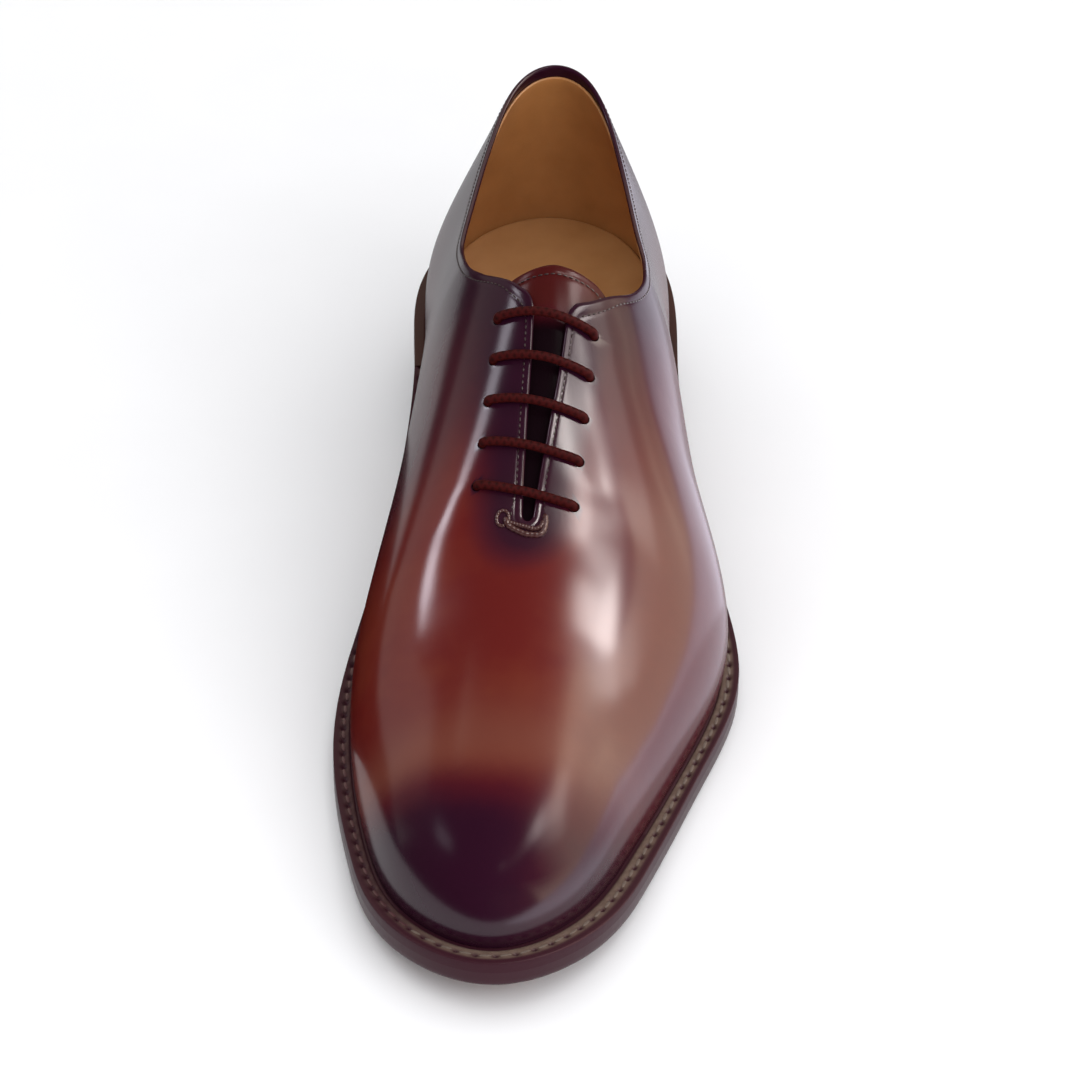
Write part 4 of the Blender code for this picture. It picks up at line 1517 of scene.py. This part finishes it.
@dataclass
class Sole:
    """Leather outsole with its stitch channel, and the insole with its sock."""

    stations: int = 190
    pairing: float = 8.0
    middle_inset: float = 40.0
    channel: float = 8.6
    channel_depth: float = 0.45
    channel_width: float = 1.6
    channel_lip: float = 0.4
    stitch: Stitch = Stitch(pitch=8.8, length=6.6, width=1.15, height=0.6)
    stitch_depth: float = 0.75
    insole_above_welt: float = 2.0
    insole_gap: float = 0.6

    def slab(self, rows: Table, layer: Slot) -> tuple[Array, Array]:
        """Points of a sole layer, from the middle of its top round its edge to the middle of its underside.

        Args:
            rows: inset from the layer's edge, and height over its lower face, of each row.
            layer: which layer, outsole or insole.

        Returns:
            The points, and their insets.
        """
        turn = LAST.paired_turns(self.pairing, self.stations)
        lines = []
        for inset, height in rows:
            if layer is Slot.OUTSOLE:
                plan = LAST.sole_line(turn, inset)
                floor = LAST.underside(plan[:, 1])
            else:
                plan = LAST.plan_line(turn, np.full(len(turn), -LAST.wall - self.insole_gap - inset))
                floor = LAST.outsole_top(plan[:, 1]) + LAST.seat_gap
            lines.append(np.concatenate([plan, (floor + height)[:, None]], axis=1))
        upper, lower = ((line + line[::-1]) / 2 for line in (lines[0], lines[-1]))
        points = np.stack([upper, *lines, lower], axis=1)
        insets = np.array([self.middle_inset, *(inset for inset, _ in rows), self.middle_inset])
        return points, insets[None, :] + 0 * points[..., 0]

    def make_outsole(self) -> None:
        """Builds the outsole and the stitches in its channel."""
        thick, deep = LAST.outsole_thickness, self.channel_depth
        low, high = self.channel - self.channel_width / 2, self.channel + self.channel_width / 2
        top = ((12.0, thick), (1.5, thick), (0.0, thick))
        edge = ((0.0, thick - 1.0), (0.0, thick / 2), (0.05, 1.3), (0.3, 0.6), (0.8, 0.18), (1.5, 0.0))
        tread = (
            (4.0, 0.0), (low - self.channel_lip, 0.0), (low, deep * 0.6), (self.channel, deep),
            (high, deep * 0.6), (high + self.channel_lip, 0.0), (13.0, 0.0))
        points, inset = self.slab((*top, *edge, *tread), Slot.OUTSOLE)
        # The face under the welt has the colour of the edge.
        inset[:, : len(top)] = 0
        add_piece("outsole_bend", skin(points, inset=inset), SoleLeather(), ["outsole"])
        lateral, medial = LAST.breast_turns()
        plan = LAST.sole_line(np.linspace(medial, lateral + 1, 3000), self.channel)
        height = LAST.underside(plan[:, 1]) + deep * self.stitch_depth
        ahead = np.gradient(plan[:, 1])
        slope = np.gradient(height) / np.where(np.abs(ahead) < 1e-6, 1e-6, ahead)
        normal = unit(np.stack([0 * slope, np.clip(slope, -1, 1), -1 + 0 * slope], -1))
        bm = self.stitch.sew(np.concatenate([plan, height[:, None]], axis=1), normal)
        add_piece("channel_stitches", bm, CHANNEL_THREAD)

    def make_insole(self) -> None:
        """Builds the insole with its leather sock."""
        thick = LAST.welt_thickness + self.insole_above_welt
        top = ((6.0, thick), (1.2, thick), (0.4, thick - 0.15))
        points, _ = self.slab((*top, (0.0, thick - 0.7), (0.0, 0.5), (0.5, 0.0), (6.0, 0.0)), Slot.INSOLE)
        add_piece("insole_sock", skin(points), SOCK, ["insole"])


@dataclass
class Heel:
    """Stacked leather heel and the rubber top piece that stands on the floor."""

    breast_hollow: float = 6.0
    top_piece: float = 6.5
    taper: Table = ((0.0, 2.2), (0.4, 1.6), (1.0, 0.5))
    lifts: int = 4
    lift_rows: int = 8
    lift_line: float = 0.14
    lift_line_rows: float = 0.6
    edge_points: int = 120
    breast_points: int = 40

    def ring(self, inset: float) -> Array:
        """Closed plan line round the heel: its curved edge, then its hollow breast."""
        lateral, medial = LAST.breast_turns()
        edge = LAST.sole_line(np.linspace(lateral, medial, self.edge_points), inset)
        across = np.linspace(-1, 1, self.breast_points + 2)[1:, None]
        middle, half = (edge[0] + edge[-1]) / 2, (edge[0] - edge[-1]) / 2
        breast = middle + half * across
        breast[:, 1] += self.breast_hollow * (1 - across[:, 0] ** 2)
        return np.concatenate([edge, breast])

    def block(self, rows: Table, slanted: bool) -> bmesh.types.BMesh:
        """Solid through rings, its ends closed.

        Args:
            rows: inset and height of each ring, from the top; a height is a share of the way up the
                slanted seat where the block is slanted, and millimetres over the floor where it isn't.
            slanted: whether the top follows the seat.

        Returns:
            The mesh.
        """
        rings = []
        for inset, height in rows:
            plan = self.ring(inset)
            low = self.top_piece + LAST.seat_gap
            seat = LAST.underside(plan[:, 1]) - LAST.seat_gap
            z = low + (seat - low) * height if slanted else np.full(len(plan), height)
            rings.append(np.concatenate([plan, z[:, None]], axis=1))
        ends = [ring.mean(axis=0) + 0 * ring for ring in (rings[0], rings[-1])]
        return skin(np.stack([ends[0], *rings, ends[1]], axis=1))

    def make(self) -> None:
        """Builds the stack of lifts and the top piece."""
        share = np.linspace(1, 0, self.lifts * self.lift_rows + 1)
        from_line = np.abs((share * self.lifts + 0.5) % 1 - 0.5) * self.lift_rows
        inset = smooth_table(self.taper, share) + self.lift_line * bump(from_line, self.lift_line_rows)
        stack = self.block(list(zip(inset, share)), True)
        add_piece("heel_lifts", stack, HEEL_LIFTS, ["heel_stack"])
        top = self.top_piece
        rows = (
            (3.0, top), (2.3, top - 0.1), (2.2, top - 0.4), (2.2, 1.0), (2.4, 0.4), (2.8, 0.1), (3.2, 0.0),
            (8.0, 0.0))
        add_piece("heel_rubber", self.block(rows, False), Rubber(), ["heel_top_piece"])


class Lit(Enum):
    """What a light is for: shaping reflections or filling the shadows."""

    GLOSS = "gloss"
    FILL = "fill"


@dataclass(frozen=True)
class Softbox:
    """A soft light between two directions from the shoe (azimuth and elevation in degrees), in metres."""

    name: str
    start: Span
    end: Span
    distance: float
    width: float
    radiance: float
    lit: Lit
    tint: str


@dataclass
class Studio:
    """Camera, floor and lights."""

    aim: tuple[float, float, float] = (-2.4, -4.0, 35.8)
    yaw: float = 1.55
    elevation: float = 38.24
    roll: float = 1.28
    distance: float = 1385.0
    lens: float = 171.0
    sensor: float = 36.0
    room_tone: str = "#ffffff"
    room_strength: float = 0.45
    # Floor that shows in the gloss, and the wide one under it that doesn't: left, right, front, rear.
    floor_pieces: tuple[tuple[str, float, float, float, float], ...] = (
        ("floor_front", -1.0, 2.0, -1.5, -0.055),
        ("floor_right", -0.045, 2.0, -0.055, 0.09),
        ("floor_rear", -0.2, 2.0, 0.09, 0.45),
        ("floor_beyond", -4.0, 4.0, -4.0, 4.0),
    )
    floor_step: float = 0.02
    boxes: tuple[Softbox, ...] = (
        Softbox("right_lamp_low", (114.0, 33.0), (107.0, 48.0), 3.0, 0.44, 7.0, Lit.GLOSS, "#fff6f2"),
        Softbox("right_lamp", (107.0, 48.0), (80.0, 61.0), 3.0, 0.4, 33.0, Lit.GLOSS, "#fff6f2"),
        Softbox("right_lamp_soft", (107.0, 29.0), (95.0, 47.0), 3.0, 0.5, 3.5, Lit.GLOSS, "#fff6f2"),
        Softbox("right_lamp_high", (80.0, 61.0), (66.0, 63.5), 3.0, 0.34, 15.0, Lit.GLOSS, "#fff6f2"),
        Softbox("right_lamp_bend", (66.0, 63.5), (50.0, 69.0), 3.0, 0.26, 18.0, Lit.GLOSS, "#fff6f2"),
        Softbox("right_lamp_top", (50.0, 69.0), (26.0, 72.0), 3.0, 0.22, 44.0, Lit.GLOSS, "#fff6f2"),
        Softbox("left_lamp", (-105.5, 37.0), (-96.0, 46.0), 3.0, 0.36, 21.0, Lit.GLOSS, "#f6f4ff"),
        Softbox("left_glow", (-124.0, -2.0), (-124.0, 32.0), 3.0, 1.8, 0.85, Lit.GLOSS, "#fff4f0"),
        Softbox("right_scrim", (93.0, -1.0), (93.0, 46.0), 3.0, 2.67, 3.6, Lit.GLOSS, "#ffe8cc"),
        Softbox("right_scrim_rear", (124.0, -1.0), (124.0, 20.0), 3.0, 0.74, 3.4, Lit.GLOSS, "#ffe8cc"),
        Softbox("right_scrim_high", (124.0, 20.0), (124.0, 46.0), 3.0, 0.74, 1.5, Lit.GLOSS, "#ffe8cc"),
        Softbox("back_scrim", (180.0, 8.0), (180.0, 60.0), 3.0, 3.6, 1.1, Lit.GLOSS, "#ffe8d4"),
        Softbox("ceiling_fill", (-75.0, 50.0), (90.0, 44.0), 2.4, 3.0, 1.2, Lit.FILL, "#ffffff"),
        Softbox("front_fill", (35.0, 5.0), (35.0, 48.0), 2.4, 2.6, 1.8, Lit.FILL, "#ffffff"),
    )
    # Pale cards on the floor that light the rim of the lateral side: left, right, front, rear, radiance.
    cards: tuple[tuple[str, float, float, float, float, float], ...] = (
        ("floor_card_front", 0.065, 1.2, -0.3, 0.02, 1.5),
        ("floor_card_rear", 0.07, 1.2, 0.02, 0.8, 2.8),
    )
    card_tone: str = "#ecebff"
    card_lift: float = 0.0004

    @staticmethod
    def direction(azimuth: float, elevation: float) -> Vector:
        """Unit vector from the shoe, by angles in degrees; azimuth 0 is in front of the toe."""
        turn, rise = math.radians(azimuth), math.radians(elevation)
        return Vector((math.sin(turn) * math.cos(rise), -math.cos(turn) * math.cos(rise), math.sin(rise)))

    @staticmethod
    def hang(name: str, size: Span, radiance: float, tint: str, lit: Lit, place: Matrix) -> None:
        """Hangs a rectangular light that the camera doesn't see.

        Args:
            name: its name.
            size: its width and length, in metres.
            radiance: how bright its face is.
            tint: its colour.
            lit: what it is for.
            place: where it hangs; it shines along -z.
        """
        light = bpy.data.lights.new(name, "AREA")
        light.shape = "RECTANGLE"
        light.size, light.size_y = size
        light.energy = radiance * math.pi * size[0] * size[1]
        light.color = colour(tint)[:3]
        thing = bpy.data.objects.new(name, light)
        thing.matrix_world = place
        thing.visible_diffuse = lit is Lit.FILL
        thing.visible_glossy = lit is Lit.GLOSS
        thing.visible_camera = False
        bpy.context.scene.collection.objects.link(thing)

    def make_camera(self) -> None:
        """Places the camera at the photograph's angle to the shoe."""
        camera = bpy.data.cameras.new("camera")
        camera.lens = self.lens
        camera.sensor_width = self.sensor
        thing = bpy.data.objects.new("camera", camera)
        back = self.direction(self.yaw, self.elevation)
        spin = Matrix.Rotation(math.radians(self.roll), 4, "Z")
        thing.matrix_world = (
            Matrix.Translation((Vector(self.aim) + back * self.distance) * MM)
            @ back.to_track_quat("Z", "Y").to_matrix().to_4x4()
            @ spin
        )
        bpy.context.scene.collection.objects.link(thing)
        bpy.context.scene.camera = thing

    def make_lights(self) -> None:
        """Hangs the softboxes round the shoe, facing it, and lays the cards on the floor, facing up."""
        for box in self.boxes:
            start, end = (self.direction(*angles) * box.distance for angles in (box.start, box.end))
            back = ((start + end) / 2).normalized()
            side = (end - start).cross(back).normalized()
            turn = Matrix((side, back.cross(side), back)).transposed().to_4x4()
            place = Matrix.Translation(Vector(self.aim) * MM + (start + end) / 2) @ turn
            size = (box.width, (end - start).length)
            self.hang(box.name, size, box.radiance, box.tint, box.lit, place)
        for name, left, right, front, rear, radiance in self.cards:
            middle = Vector(((left + right) / 2, (front + rear) / 2, self.card_lift))
            place = Matrix.Translation(middle) @ Matrix.Rotation(math.pi, 4, "X")
            self.hang(name, (right - left, rear - front), radiance, self.card_tone, Lit.GLOSS, place)

    def make_world(self) -> None:
        """Fills the shadows from all round with an even light that the gloss doesn't show."""
        world = bpy.data.worlds.new("studio_room")
        world.use_nodes = True
        glow = world.node_tree.nodes["Background"]
        glow.inputs["Color"].default_value = colour(self.room_tone)
        glow.inputs["Strength"].default_value = self.room_strength
        world.cycles_visibility.glossy = False
        bpy.context.scene.world = world

    def make_floor(self) -> None:
        """Lays the plain pale floor; only the part of it near the shoe shows in the gloss."""
        for name, left, right, front, rear in self.floor_pieces:
            mirrored = name != "floor_beyond"
            level = 0.0 if mirrored else -self.floor_step * MM
            middle = Matrix.Translation(((left + right) / 2, (front + rear) / 2, level))
            spread = Matrix.Diagonal((right - left, rear - front, 1.0, 1.0))
            bm = bmesh.new()
            bmesh.ops.create_grid(bm, x_segments=1, y_segments=1, size=0.5, matrix=middle @ spread)
            floor = add_object(name, bm)
            floor.data.materials.append(PAPER.material())
            floor.visible_glossy = mirrored

    def make(self) -> None:
        """Sets up the whole studio."""
        self.make_camera()
        self.make_lights()
        self.make_world()
        self.make_floor()
        bpy.context.scene.view_settings.view_transform = "Standard"


def main() -> None:
    """Builds the studio and the shoe."""
    logging.basicConfig(level=logging.INFO, format="%(name)s: %(message)s")
    Studio().make()
    lace = Lace()
    upper = Upper()
    lace.punch(upper.make_calf(), lace.hole)
    lace.punch(upper.make_lining(), lace.lining_hole)
    upper.make_edge_stitches()
    upper.make_throat_tack()
    Tongue().make()
    lace.make()
    Welt().make()
    sole = Sole()
    sole.make_outsole()
    sole.make_insole()
    Heel().make()


if __name__ == "__main__":
    main()
